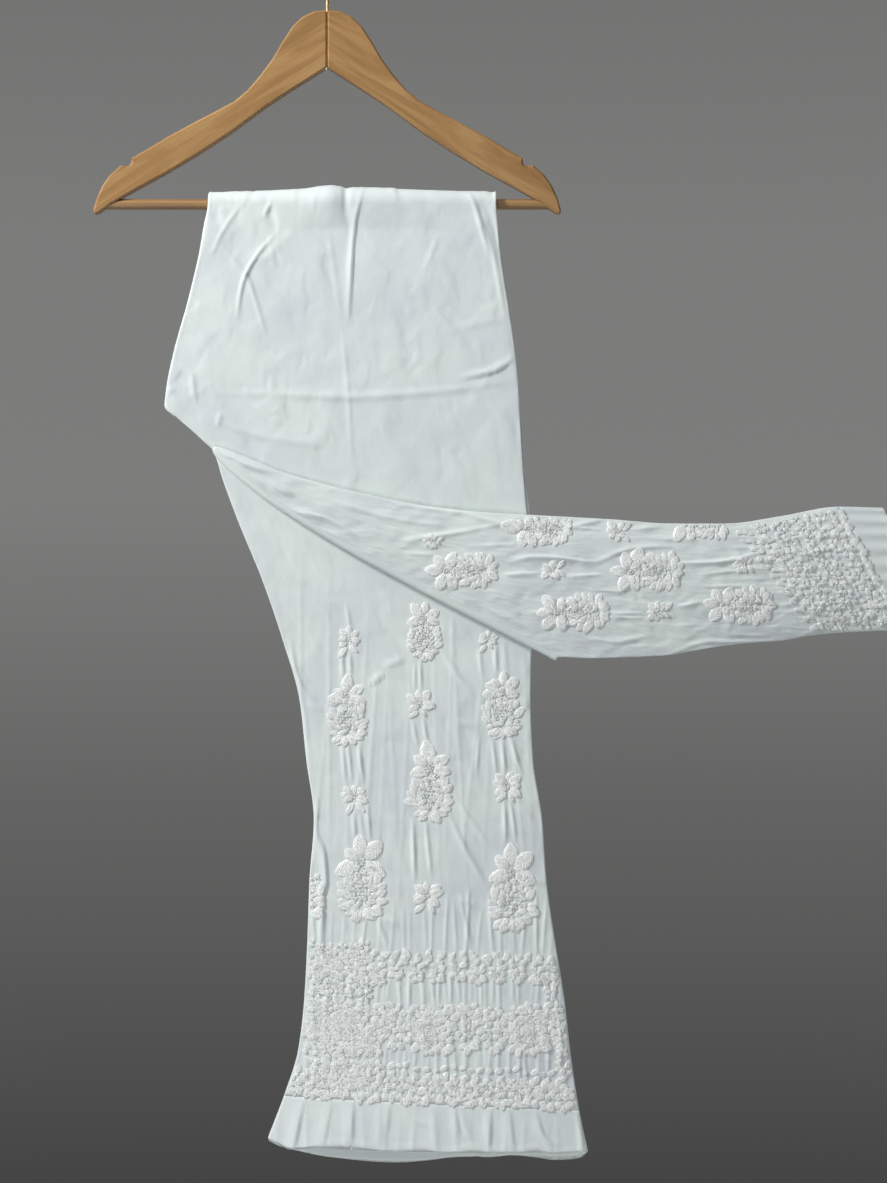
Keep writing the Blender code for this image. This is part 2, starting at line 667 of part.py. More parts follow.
def add_arm(name, side, cutters, look, collection):
    """A flat outline given thickness, with rounded edges, the bar's socket and half of the stem's hole."""
    outline = arm_outline()
    curve = bpy.data.curves.new(name, "CURVE")
    curve.dimensions = "2D"
    curve.fill_mode = "BOTH"
    curve.extrude = ARM_THICK / 2 * MM
    spline = curve.splines.new("POLY")
    spline.points.add(len(outline) - 1)
    for at, (x, drop) in zip(spline.points, outline):
        at.co = (side * x * MM, -drop * MM, 0, 1)
    spline.use_cyclic_u = True
    flat = bpy.data.objects.new(name + "_outline", curve)
    collection.objects.link(flat)
    flat.rotation_euler = (math.pi / 2, 0, 0)
    bpy.context.view_layer.update()
    graph = bpy.context.evaluated_depsgraph_get()
    mesh = bpy.data.meshes.new_from_object(flat.evaluated_get(graph))
    mesh.transform(flat.matrix_world)
    bpy.data.objects.remove(flat)
    tidy = bmesh.new()
    tidy.from_mesh(mesh)
    bmesh.ops.remove_doubles(tidy, verts=tidy.verts, dist=1e-6)
    bmesh.ops.recalc_face_normals(tidy, faces=tidy.faces)
    tidy.to_mesh(mesh)
    tidy.free()
    mesh.materials.clear()
    mesh.materials.append(look)
    made = bpy.data.objects.new(name, mesh)
    collection.objects.link(made)
    rounding = made.modifiers.new("rounded_edges", "BEVEL")
    rounding.width = 1.6 * MM
    rounding.segments = 1
    rounding.limit_method = "ANGLE"
    rounding.angle_limit = math.radians(50)
    for tool in cutters:
        cut = made.modifiers.new(tool.name, "BOOLEAN")
        cut.object = tool
        cut.operation = "DIFFERENCE"
    return made


def add_bar(look, collection):
    bpy.ops.mesh.primitive_cylinder_add(
        vertices=24, radius=BAR_RADIUS * MM, depth=(BAR_RIGHT - BAR_LEFT) * MM
    )
    made = bpy.context.object
    made.name = "hanger_bar"
    made.location = ((BAR_RIGHT + BAR_LEFT) / 2 * MM, 0, -BAR_DROP * MM)
    made.rotation_euler = (0, math.pi / 2, 0)
    made.data.shade_smooth()
    made.data.set_sharp_from_angle(angle=math.radians(40))
    made.data.materials.append(look)
    for holder in made.users_collection:
        holder.objects.unlink(made)
    collection.objects.link(made)


def add_hook(look, collection):
    """A wire: three quarters of a circle over the rail, a short sweep back to the middle, then the stem."""
    ring = HOOK_INSIDE + WIRE
    turns = np.radians(np.linspace(200, -38, 22))
    route = [(ring * math.cos(t), -HOOK_INSIDE + ring * math.sin(t)) for t in turns]
    route += [(10.5, -41.5), (5.0, -46.0), (1.4, -50.5), (0.0, -56.5), (0.0, -STEM_BOTTOM)]
    curve = bpy.data.curves.new("hanger_hook", "CURVE")
    curve.dimensions = "3D"
    curve.bevel_depth = WIRE * MM
    curve.bevel_resolution = 2
    curve.use_fill_caps = True
    spline = curve.splines.new("POLY")
    spline.points.add(len(route) - 1)
    for at, (x, z) in zip(spline.points, route):
        at.co = (x * MM, 0, z * MM, 1)
    curve.materials.append(look)
    made = bpy.data.objects.new("hanger_hook", curve)
    collection.objects.link(made)


def new_collection(name):
    made = bpy.data.collections.new(name)
    bpy.context.scene.collection.children.link(made)
    return made


for old in list(bpy.data.objects):
    bpy.data.objects.remove(old)

LEFT = left_leg()
RIGHT, FOLD_ROW = right_leg()
trousers = new_collection("trousers_on_hanger")
cutters = new_collection("cutters")

cotton = material("white_cotton", (0.79, 0.83, 0.81), 0.85)
cotton_inside = material("white_cotton_back", (0.74, 0.78, 0.77), 0.88)
elastic = material("gathered_casing", (0.76, 0.80, 0.79), 0.88)
wood = material("honey_wood", (0.44, 0.25, 0.10), 0.45)
copper = material("copper_wire", (0.55, 0.30, 0.18), 0.35, 1.0)

left_end = len(LEFT.edge) - 1
left_seam = left_end - 1 - LEFT_LEG[-2].extra
right_end = len(RIGHT.edge) - 1
right_seam = right_end - 1 - SWUNG[-2].extra

left_rows = piece_of(LEFT, 0, left_seam, True, True)
add_panel("left_front", left_rows, False, -1, FRONT_COLUMNS, left_front_relief, cotton, trousers)
add_panel("left_back", left_rows, True, -1, BACK_COLUMNS, left_back_relief, cotton_inside, trousers)

# Each panel of the turned leg is cut out as one piece. It is two solids here, parted along the crease across
# the crotch, because the collision pieces of a single solid would fill the leg.
crease_row = len(HIP_BEHIND) + ARC_STEPS - 1 + len(HIP_FRONT) - 2
for part, first, last in (("hip", 0, crease_row), ("leg", crease_row, right_seam)):
    rows = piece_of(RIGHT, first, last, True, True)
    for name, outer, columns, relief in (
        ("right_front", False, FRONT_COLUMNS, right_front_relief),
        ("right_back", True, HIP_COLUMNS, right_back_relief),
    ):
        add_panel(f"{name}_{part}", rows, outer, 1, columns, relief, cotton, trousers, first)

left_hem = piece_of(LEFT, left_seam, left_end, True, False)
left_hem_front = bowed(left_hem, HEM_BOW_FRONT)
left_hem_back = bowed(left_hem, HEM_BOW_BACK)
right_hem = piece_of(RIGHT, right_seam, right_end, True, False)
add_panel("left_hem_front", left_hem_front, False, -1, HEM_COLUMNS, hem_relief, cotton, trousers)
add_panel("left_hem_back", left_hem_back, True, -1, HEM_COLUMNS, hem_relief, cotton_inside, trousers)
add_panel("right_hem_front", right_hem, False, 1, HEM_COLUMNS, hem_relief, cotton, trousers)
add_panel("right_hem_back", right_hem, True, 1, HEM_COLUMNS, hem_relief, cotton_inside, trousers)
add_waistband(elastic, trousers)

sideways = (0, math.pi / 2, 0)
for name, side, end in (("hanger_arm_left", -1, BAR_LEFT), ("hanger_arm_right", 1, BAR_RIGHT)):
    reach = abs(end) + SOCKET_GAP
    socket = cutter(
        f"socket_{name}",
        BAR_RADIUS + SOCKET_GAP,
        reach,
        (side * reach / 2, 0, -BAR_DROP),
        sideways,
        cutters,
    )
    hole = cutter(
        f"stem_hole_{name}",
        WIRE + SOCKET_GAP,
        60,
        (0, 0, -STEM_BOTTOM - SOCKET_GAP + 30),
        (0, 0, 0),
        cutters,
    )
    add_arm(name, side, (socket, hole), wood, trousers)
add_bar(wood, trousers)
add_hook(copper, trousers)
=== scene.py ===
# White cotton trousers with raised floral stitching, folded over the bar of a wooden hanger: the looks.
# Tables are in millimetres: x to the right, drop downwards and depth towards the viewer, from the hook's inside.

import math

import bpy
import numpy as np
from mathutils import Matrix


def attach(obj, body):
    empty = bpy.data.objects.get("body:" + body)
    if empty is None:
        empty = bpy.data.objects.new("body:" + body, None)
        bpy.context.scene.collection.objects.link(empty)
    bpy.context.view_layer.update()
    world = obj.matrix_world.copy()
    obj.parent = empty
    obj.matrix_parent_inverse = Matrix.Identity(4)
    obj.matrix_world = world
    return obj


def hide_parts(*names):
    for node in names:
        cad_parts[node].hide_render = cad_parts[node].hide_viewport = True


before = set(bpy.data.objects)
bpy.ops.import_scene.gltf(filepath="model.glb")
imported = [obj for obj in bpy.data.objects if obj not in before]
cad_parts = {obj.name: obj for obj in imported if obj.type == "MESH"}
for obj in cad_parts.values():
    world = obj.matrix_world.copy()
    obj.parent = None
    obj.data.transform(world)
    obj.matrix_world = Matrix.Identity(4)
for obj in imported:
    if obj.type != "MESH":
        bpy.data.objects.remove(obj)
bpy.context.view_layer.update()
scene = bpy.context.scene
scene.view_settings.view_transform = "Standard"
mm = 0.001
print("solids loaded")


# ---- camera, light and surroundings

view = {
    "lens": 120.0,
    "sensor": 36.0,
    "middle": (110.2, 621.4),  # x and drop at the middle of the picture
    "width": 838.2,  # of the garment's plane, across the picture
    "plane": 12.0,  # depth of that plane
}


def addCamera():
    lens = bpy.data.cameras.new("camera")
    lens.lens, lens.sensor_width, lens.sensor_fit = view["lens"], view["sensor"], "HORIZONTAL"
    camera = bpy.data.objects.new("camera", lens)
    away = view["width"] * view["lens"] / view["sensor"] + view["plane"]
    camera.location = [view["middle"][0] * mm, -away * mm, -view["middle"][1] * mm]
    camera.rotation_euler = (math.pi / 2, 0, 0)
    scene.collection.objects.link(camera)
    scene.camera = camera


studio = {
    "lamps": (  # name, place in metres, size in metres, watts, colour
        ("keyLamp", (-1.75, -1.0, 0.85), 0.5, 66.0, (1.0, 0.998, 0.99)),
        ("fillLamp", (2.3, -2.6, -0.4), 1.6, 4.0, (0.96, 0.98, 1.0)),
        ("lowLamp", (-0.5, -2.6, -1.5), 1.2, 15.0, (0.98, 0.99, 1.0)),
        ("topLamp", (-0.2, -0.9, 1.5), 0.7, 7.0, (1.0, 0.995, 0.98)),
        ("rearLamp", (1.1, 3.0, 0.5), 1.4, 50.0, (1.0, 1.0, 1.0)),
    ),
    "aim": (0.1, 0.0, -0.62),
    "backdrop": ((0.30, 0.055), (0.43, 0.127), (0.53, 0.205), (0.62, 0.200), (0.70, 0.172)),  # height and grey
    "warmth": 0.985,  # the backdrop's blue against its red
    "ambient": (0.125, 0.130, 0.135),
    "floorMiddle": 0.1,
    "floorDrop": 1.62,
    "floorRadius": 0.95,
    "floorGrey": (0.62, 0.61, 0.60, 1.0),
}


def addStudio():
    for name, spot, size, watts, colour in studio["lamps"]:
        data = bpy.data.lights.new(name, "AREA")
        data.shape, data.size, data.energy, data.color = "DISK", size, watts, colour
        lamp = bpy.data.objects.new(name, data)
        lamp.location = spot
        way = np.array(studio["aim"]) - np.array(spot)
        lamp.rotation_euler = (math.atan2(math.hypot(way[0], way[1]), -way[2]), 0, math.atan2(-way[0], way[1]))
        scene.collection.objects.link(lamp)


addCamera()
addStudio()


# ---- finishes


class Strand:  # one socket of a node tree: sums and products of strands add Math nodes
    def __init__(self, tree, socket=None):
        self.tree, self.socket = tree, socket

    def feed(self, made, sockets):
        for key, value in sockets.items():
            if isinstance(value, Strand):
                self.tree.links.new(value.socket, made.inputs[key])
            else:
                made.inputs[key].default_value = value

    def node(self, kind, settings, sockets, output=0):
        made = self.tree.nodes.new("ShaderNode" + kind)
        for key, value in settings.items():
            if key == "stops":
                ramp = made.color_ramp.elements
                while len(ramp) < len(value):
                    ramp.new(1.0)
                for stop, (place, colour) in zip(ramp, value):
                    stop.position, stop.color = place, (*colour, 1.0)
            else:
                setattr(made, key, value)
        self.feed(made, sockets)
        return Strand(self.tree, made.outputs[output])

    def op(self, operation, other=0.0):
        return self.node("Math", {"operation": operation}, {0: self, 1: other})

    def __add__(self, other):
        return self.op("ADD", other)

    def __mul__(self, other):
        return self.op("MULTIPLY", other)

    __radd__, __rmul__ = __add__, __mul__

    def part(self, index):  # one number of a vector
        return self.node("SeparateXYZ", {}, {0: self}, index)

    def stretched(self, factors):
        return self.node("VectorMath", {"operation": "MULTIPLY"}, {0: self, 1: factors})

    def noise(self, scale, detail, roughness=0.5, distortion=0.0):
        looks = {"Scale": scale, "Detail": detail, "Roughness": roughness, "Distortion": distortion}
        return self.node("TexNoise", {}, {"Vector": self, **looks})

    def between(self, low, high, first=0.0, last=1.0):  # runs from first at low to last at high
        return self.node("MapRange", {}, {0: self, 1: low, 2: high, 3: first, 4: last})

    def blend(self, first, second):  # a colour between two colours
        return self.node("Mix", {"data_type": "RGBA"}, {0: self, 6: first, 7: second}, 2)

    def bump(self, strength, distance, under=None):  # distance in millimetres
        sockets = {"Strength": strength, "Distance": distance * mm, "Height": self}
        return self.node("Bump", {}, {**sockets, "Normal": under} if under else sockets)


def newFinish(name):
    made = bpy.data.materials.new(name)
    made.use_nodes = True
    tree = made.node_tree
    return made, tree.nodes["Principled BSDF"], Strand(tree)


def addBackdrop():  # grey that darkens downwards for the camera, and a soft even grey as light
    world = bpy.data.worlds.new("backdrop")
    world.use_nodes = True
    scene.world = world
    tree = world.node_tree
    tree.nodes.clear()
    start = Strand(tree)
    height = start.node("TexCoord", {}, {}).part(2)
    stops = [(place, (grey, grey, studio["warmth"] * grey)) for place, grey in studio["backdrop"]]
    shown = start.node("ValToRGB", {"stops": stops}, {0: height + 0.5})
    colour = start.node("LightPath", {}, {}).blend((*studio["ambient"], 1.0), shown)
    glow = start.node("Background", {}, {0: colour, 1: 1.0})
    last = tree.nodes.new("ShaderNodeOutputWorld")
    tree.links.new(glow.socket, last.inputs[0])


addBackdrop()

cottonLook = {
    "light": (0.755, 0.830, 0.795),
    "shade": (0.690, 0.744, 0.772),
    "clouds": (11.0, 3.0, 0.55),  # scale, detail and roughness of the patches of light and shade
    "clouded": (0.35, 0.68),  # where the shade starts and is full
    "creases": (120.0, 4.0, 0.6),
    "pits": (420.0, 2.0),
    "threads": 2100.0,  # in a metre
    "depths": {"creases": 0.9, "pits": 0.25, "weave": 0.05},
    "roughness": (0.78, 0.92),
    "sheen": 0.25,
    "specular": 0.25,
}


def cottonFinish(name, tone, crinkle, lengthwise):
    # Plain weave on the cloth's own map, under creases of three sizes that run along the leg.
    made, shader, start = newFinish(name)
    flat = start.node("UVMap", {"uv_map": "cloth"}, {})
    u, v = flat.part(0), flat.part(1)
    pits = flat.noise(*cottonLook["pits"])
    drawnOut = start.node("CombineXYZ", {}, {0: u, 1: v * lengthwise}).noise(*cottonLook["creases"])
    turn = math.pi * cottonLook["threads"]
    weave = (u * turn).op("SINE") * (v * turn).op("SINE")
    light, shade = ([c * tone for c in cottonLook[key]] + [1.0] for key in ("light", "shade"))
    low, high = cottonLook["roughness"]
    depths = cottonLook["depths"]
    pitted = pits.bump(0.35, depths["pits"], drawnOut.bump(crinkle, depths["creases"]))
    start.feed(shader, {
        "Base Color": flat.noise(*cottonLook["clouds"]).between(*cottonLook["clouded"]).blend(light, shade),
        "Roughness": pits * (high - low) + low,
        "Sheen Weight": cottonLook["sheen"],
        "Specular IOR Level": cottonLook["specular"],
        "Normal": weave.bump(0.5, depths["weave"], pitted),
    })
    return made


threadLook = {
    "light": (0.980, 1.000, 0.975, 1.0),
    "shade": (0.785, 0.835, 0.820, 1.0),
    # painted glints and flecks of shade, mottled over the thread
    "glintNoise": (430.0, 3.0, 0.6),
    "glintRange": (0.42, 0.60, 0.0, 0.85),  # from and to which noise, with how little and how much shade
    "vein": 0.32,  # half its width, as a share of the petal's
    # painted shade in the vein, which is sunk between the padded rims
    "veinPaintedShade": 0.35,
    "passes": 7.0,  # of the thread along a petal
    "slant": 0.35,  # of the passes, from vein to rim
    "loops": (820.0, 2.0, 0.6, 0.8),
    "depths": {"loops": 0.75, "strands": 0.16},
    "roughness": 0.33,
    "sheen": 0.2,
}


def threadFinish():
    # Silky thread laid side by side from each petal's vein to its rim. Its colour carries painted light: glints and
    # flecks of shade mottle it, and painted shade darkens the sunk vein.
    made, shader, start = newFinish("stitchedThread")
    petal = start.node("UVMap", {"uv_map": "petal"}, {})
    where = start.node("TexCoord", {}, {}, 3)
    side = petal.part(0).op("ABSOLUTE")
    turn = 2 * math.pi * threadLook["passes"]
    strands = ((petal.part(1) + side * threadLook["slant"]) * turn).op("SINE")
    # painted shade along the sunk vein
    vein = side.between(0.0, threadLook["vein"], 1.0, 0.0) * threadLook["veinPaintedShade"]
    # painted glints and flecks of shade, plus the vein's painted shade
    paintedGlintsAndVeinShade = where.noise(*threadLook["glintNoise"]).between(*threadLook["glintRange"]) + vein
    depths = threadLook["depths"]
    looped = where.noise(*threadLook["loops"]).bump(0.75, depths["loops"])
    start.feed(shader, {
        "Base Color": paintedGlintsAndVeinShade.blend(threadLook["light"], threadLook["shade"]),
        "Roughness": threadLook["roughness"],
        "Sheen Weight": threadLook["sheen"],
        "Normal": strands.bump(0.6, depths["strands"], looped),
    })
    return made


woodLook = {
    "tones": ((0.30, (0.300, 0.160, 0.057)), (0.47, (0.375, 0.205, 0.076)), (0.62, (0.450, 0.262, 0.105))),
    "bands": (75.0, 5.0, 0.6, 1.1),
    "bandStretch": (0.09, 1.0, 1.0),
    "pores": (520.0, 2.0),
    "poreStretch": (0.05, 1.0, 1.0),
    "poreShade": (0.60, 0.72, 0.0, 0.45),
    "poreDepth": 0.15,
    "roughness": (0.29, 0.18),  # the least, and how much the bands add
    "coat": 0.35,
    "coatRoughness": 0.22,
}


def woodFinish(name, slope, tone):
    # Straight grain along the arm: long bands bent by noise, with short dark pores.
    made, shader, start = newFinish(name)
    where = start.node("TexCoord", {}, {}, 3)
    turned = start.node("Mapping", {"vector_type": "POINT"}, {"Vector": where, "Rotation": (0, slope, 0)})
    bands = turned.stretched(woodLook["bandStretch"]).noise(*woodLook["bands"])
    pores = turned.stretched(woodLook["poreStretch"]).noise(*woodLook["pores"])
    stops = [(place, [c * tone for c in colour]) for place, colour in woodLook["tones"]]
    grain = start.node("ValToRGB", {"stops": stops}, {0: bands})
    least, more = woodLook["roughness"]
    start.feed(shader, {
        "Base Color": pores.between(*woodLook["poreShade"]).blend(grain, stops[0][1] + [1.0]),
        "Roughness": bands * more + least,
        "Coat Weight": woodLook["coat"],
        "Coat Roughness": woodLook["coatRoughness"],
        "Normal": pores.bump(0.35, woodLook["poreDepth"]),
    })
    return made


copperLook = {
    "light": (0.58, 0.37, 0.21, 1.0),
    "dark": (0.34, 0.20, 0.11, 1.0),
    "wear": (260.0, 3.0),
    "roughness": (0.32, 0.25),  # the least, and how much wear adds
}


def copperFinish():
    made, shader, start = newFinish("copperWire")
    worn = start.node("TexCoord", {}, {}, 3).noise(*copperLook["wear"])
    colour = worn.blend(copperLook["light"], copperLook["dark"])
    least, more = copperLook["roughness"]
    start.feed(shader, {"Base Color": colour, "Roughness": worn * more + least, "Metallic": 1.0})
    return made


def floorFinish():
    made, shader, start = newFinish("paleFloor")
    start.feed(shader, {"Base Color": studio["floorGrey"], "Roughness": 0.8})
    return made


# Each cotton's tone, how crinkled it is, and how far its creases are drawn out along the leg.
cotton = cottonFinish("whiteCotton", 1.0, 0.20, 0.45)
cottonSwung = cottonFinish("whiteCottonSwung", 1.0, 0.45, 0.40)
# The hanging leg's hem bands are lighter copies of the same cotton: painted light, strongest on the rear hem to lift
# the shade the front hem casts on it.
cottonHemPaintedLight = cottonFinish("whiteCottonHemPaintedLight", 1.04, 0.20, 0.30)
cottonHemRearPaintedLight = cottonFinish("whiteCottonHemRearPaintedLight", 1.13, 0.20, 0.30)
cottonRear = cottonFinish("whiteCottonRear", 0.98, 0.25, 0.45)
casing = cottonFinish("gatheredCasing", 0.96, 0.60, 0.20)
thread = threadFinish()
print("finishes made")


# ---- meshes from whole arrays


def makePiece(name, points, faces, finish, maps):
    # points is (n, 3) in mm, faces a list of arrays of quads or triangles, maps a dictionary of (n, 2) maps.
    mesh = bpy.data.meshes.new(name)
    corners = np.concatenate([f.ravel() for f in faces]).astype(np.int32)
    sizes = np.concatenate([np.full(len(f), f.shape[1]) for f in faces])
    starts = np.concatenate([[0], np.cumsum(sizes)[:-1]]).astype(np.int32)
    mesh.vertices.add(len(points))
    mesh.vertices.foreach_set("co", (points * mm).astype(np.float32).ravel())
    mesh.loops.add(len(corners))
    mesh.loops.foreach_set("vertex_index", corners)
    mesh.polygons.add(len(starts))
    mesh.polygons.foreach_set("loop_start", starts)
    mesh.polygons.foreach_set("use_smooth", np.ones(len(starts), bool))
    for mapName, values in maps.items():
        layer = mesh.uv_layers.new(name=mapName)
        layer.data.foreach_set("uv", values[corners].astype(np.float32).ravel())
    mesh.update(calc_edges=True)
    mesh.materials.append(finish)
    made = bpy.data.objects.new(name, mesh)
    scene.collection.objects.link(made)
    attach(made, "root")
    return made


def wallFaces(rows, columns, closed=False):
    # A wall between two equal grids of points: outside, inside and rims. closed joins the last column to the first.
    number = np.arange(rows * columns).reshape(rows, columns)
    ahead = np.roll(number, -1, axis=1) if closed else number[:, 1:]
    here = number if closed else number[:, :-1]
    back = rows * columns
    quads = [
        np.stack([here[:-1], ahead[:-1], ahead[1:], here[1:]], axis=-1),
        np.stack([here[:-1], here[1:], ahead[1:], ahead[:-1]], axis=-1) + back,
        np.stack([here[0], here[0] + back, ahead[0] + back, ahead[0]], axis=-1),
        np.stack([here[-1], ahead[-1], ahead[-1] + back, here[-1] + back], axis=-1),
    ]
    if not closed:
        for column, turn in ((number[:, 0], 1), (number[:, -1], -1)):
            rim = np.stack([column[:-1], column[1:], column[1:] + back, column[:-1] + back], axis=-1)
            quads.append(rim[:, ::turn])
    return np.concatenate([q.reshape(-1, 4) for q in quads])


def outwards(points, faces):  # turns the faces round where the closed shell's volume comes out negative
    corner = points[faces[:, [0, 1, 2]]]
    other = points[faces[:, [0, 2, 3]]]
    volume = sum(np.einsum("ij,ij->", c[:, 0], np.cross(c[:, 1], c[:, 2])) for c in (corner, other))
    return faces if volume > 0 else faces[:, ::-1]


def smoothRows(places, rows, wanted):
    # A curve through rows of numbers that never swings past them: each slope is the harmonic mean of its two
    # neighbours' slopes, or none where they differ in sign, and cubic pieces join the rows.
    step = np.diff(places)[:, None]
    rise = np.diff(rows, axis=0) / step
    before, after = rise[:-1], rise[1:]
    near, far = 2 * step[1:] + step[:-1], step[1:] + 2 * step[:-1]
    same = before * after > 0
    mean = (near + far) / (near / np.where(same, before, 1.0) + far / np.where(same, after, 1.0))
    slope = np.concatenate([rise[:1], np.where(same, mean, 0.0), rise[-1:]])
    at = np.clip(np.searchsorted(places, wanted, side="right") - 1, 0, len(places) - 2)
    t = ((wanted - places[at]) / step[at, 0])[:, None]
    h = step[at]
    start = (2 * t**3 - 3 * t**2 + 1) * rows[at] + (t**3 - 2 * t**2 + t) * h * slope[at]
    return start + (3 * t**2 - 2 * t**3) * rows[at + 1] + (t**3 - t**2) * h * slope[at + 1]


# ---- the form of the legs, as in the solids

form = {
    "wall": 1.2,  # of the solids
    "cloth": 0.5,  # thickness of the shells that stand for them
    "seam": 0.3,
    "sewn": 0.08,  # between two pieces of cloth that are sewn together
    "layer": 1.0,
    "layerAtWaist": 4.0,
    "farDepth": 7.0,
    "nearDepth": 11.0,
    "farAtWaist": 11.0,
    "nearAtWaist": 23.0,
    "barDrop": 254.0,
    "waistDrop": 345.0,
    "innerTuck": 3.5,
    "arcSteps": 8,
    "foldRadius": 3.2,
    "foldSteps": 6,
    "foldLeft": (-108.0, 488.0),
    "foldRight": (216.0, 687.5),
    "foldSag": 50.0,
    "hipBehind": ((345, -78, 118), (320, -87, 129), (295, -97, 141), (272, -107, 153), (254, -113, 160.5)),
    "hipFront": (  # drop, left, right, join: how far the two legs are still one garment
        (254, -113, 160.5, 1.0),
        (275, -117, 162, 1.0),
        (299, -121, 164, 1.0),
        (346, -132, 171, 1.0),
        (393, -145, 178, 1.0),
        (426, -152, 181.5, 1.0),
        (445, -154, 182.5, 0.5),
    ),
    "leftLeg": (  # left, its drop, right, its drop, depth, half thickness at the edges and in the middle
        (-127, 468, 185, 468, 7.0, 1.0, 1.0), (-108, 489, 186, 489, 7.0, 1.0, 1.0),
        (-99, 516, 188, 516, 7.0, 1.0, 1.0), (-85, 554, 193, 554, 7.0, 1.0, 1.0),
        (-62, 610, 195.5, 610, 7.0, 1.0, 1.0), (-42.5, 667, 194, 667, 7.0, 1.0, 1.0),
        (-26.5, 724, 193, 724, 7.2, 1.0, 1.6), (-20, 781, 195.5, 781, 7.6, 1.1, 2.6),
        (-13, 837, 204, 837, 8.0, 1.2, 3.4), (-17, 894, 208, 894, 8.4, 1.3, 4.2),
        (-19, 951, 216, 951, 8.8, 1.4, 5.0), (-22, 1007, 225, 1007, 9.2, 1.5, 5.8),
        (-27.5, 1054, 231, 1060, 9.6, 1.6, 6.6), (-41, 1098, 239, 1112, 10.0, 1.7, 7.4),
        (-56, 1139, 247, 1151, 10.4, 1.8, 8.6),
    ),
    "thigh": (
        (-142, 457, 186, 505, 11.0, 1.0, 1.0), (-131, 466, 192, 568, 11.0, 1.0, 1.0),
        (-119, 475, 203, 629, 11.0, 1.0, 1.0),
    ),
    "thighSag": (0.1, 0.4, 0.8),
    "swung": (  # the same, from the fold to the hem
        (-33, 511, 250, 684.5, 18.2, 1.1, 2.4), (36, 529, 284, 683.5, 19.4, 1.2, 3.8),
        (97, 541, 317, 682, 20.0, 1.3, 4.8), (154, 547, 349, 677, 20.0, 1.4, 5.6),
        (211, 550, 373, 673, 19.6, 1.4, 6.2), (267, 553, 400, 670, 18.6, 1.5, 6.6),
        (324, 557, 429, 668, 17.4, 1.5, 7.0), (376, 557, 458, 663, 16.2, 1.6, 7.2),
        (428, 550, 494, 660, 15.2, 1.6, 7.4), (483, 541, 546, 658, 14.4, 1.7, 7.8),
        (525, 542, 589, 656, 14.0, 1.8, 8.4),
    ),
    "swungSag": (0.7, 0.4, 0.15),
}

towardsViewer, awayFromViewer = np.array([0.0, -1.0, 0.0]), np.array([0.0, 1.0, 0.0])


def spot(x, depth, drop):
    return np.array([x, -depth, -drop])


def ramp(value, length):  # 0 up to zero, and 1 from length on
    return np.clip(value / length, 0, 1)


def sagShare(share):  # share to the power 0.6 times its complement to the power 1.3
    share = np.clip(share, 0, 1)
    return share**0.6 * (1 - share) ** 1.3


foldWay = spot(form["foldRight"][0], 0.0, form["foldRight"][1]) - spot(form["foldLeft"][0], 0.0, form["foldLeft"][1])
foldLength = np.linalg.norm(foldWay)
foldWay = foldWay / foldLength
foldOut = np.array([foldWay[2], 0.0, -foldWay[0]])  # down and to the left, square to the fold
apart = (form["nearDepth"] - form["farDepth"]) / 2  # half of what the two legs' middle depths differ by


def row(left, right, normal, edge, middle, join, spread, sag=0.0):
    # Both edges, the way out, half thicknesses, how far two legs are joined and lie apart, and the fold's sag.
    return np.concatenate([left, right, normal, [edge, middle, join, spread], sag * form["foldSag"] * foldOut])


def hipRows(depth, depthAtWaist):
    # Up behind the bar, half a turn over it on a circle of radius depth, and down to the crotch.
    rows, layer = [], form["layer"]
    apartAtWaist = (form["nearAtWaist"] - form["farAtWaist"]) / 2
    for drop, left, right in form["hipBehind"]:
        share = (drop - form["barDrop"]) / (form["waistDrop"] - form["barDrop"])
        ends = [spot(x, -(depth + (depthAtWaist - depth) * share), drop) for x in (left, right)]
        half = layer + (form["layerAtWaist"] - layer) * share
        rows.append(row(*ends, awayFromViewer, half, half, 1.0, apart + (apartAtWaist - apart) * share))
    drop, left, right, _ = form["hipFront"][0]
    for turn in np.linspace(0, math.pi, form["arcSteps"] + 1)[1:-1]:
        normal = np.array([0.0, math.cos(turn), math.sin(turn)])
        ends = [spot(x, 0.0, drop) + depth * normal for x in (left, right)]
        rows.append(row(*ends, normal, layer, layer, 1.0, apart))
    for drop, left, right, join in form["hipFront"]:
        ends = [spot(x, depth, drop) for x in (left, right)]
        rows.append(row(*ends, towardsViewer, layer, layer, join, apart))
    return rows


def legRows(part, normal):
    table, sags = form[part], form.get(part + "Sag", ())
    sags = sags + (0.0,) * (len(table) - len(sags))
    return [
        row(spot(l, depth, ld), spot(r, depth, rd), normal, edge, middle, 0.0, apart, sag)
        for (l, ld, r, rd, depth, edge, middle), sag in zip(table, sags)
    ]


def foldRows():
    # Half a circle about the slanting fold, towards the viewer.
    radius, near, layer = form["foldRadius"], form["nearDepth"], form["layer"]
    left, right = (spot(x, near, drop) for x, drop in (form["foldLeft"], form["foldRight"]))
    outermost = radius + layer + form["wall"] / 2
    rows = []
    for turn in np.linspace(0, math.pi, form["foldSteps"] + 1):
        swing = (radius * math.sin(turn) - outermost) * foldOut + radius * (1 - math.cos(turn)) * towardsViewer
        normal = math.cos(turn) * towardsViewer - math.sin(turn) * foldOut
        rows.append(row(left + swing, right + swing, normal, layer, layer, 0.0, layer, 1.0))
    return rows


def distances(keys):  # how far down the leg each row lies, along the mean of its two edges
    steps = np.diff(keys[:, :6], axis=0).reshape(-1, 2, 3)
    return np.concatenate([[0.0], np.cumsum(np.linalg.norm(steps, axis=2).mean(axis=1))])


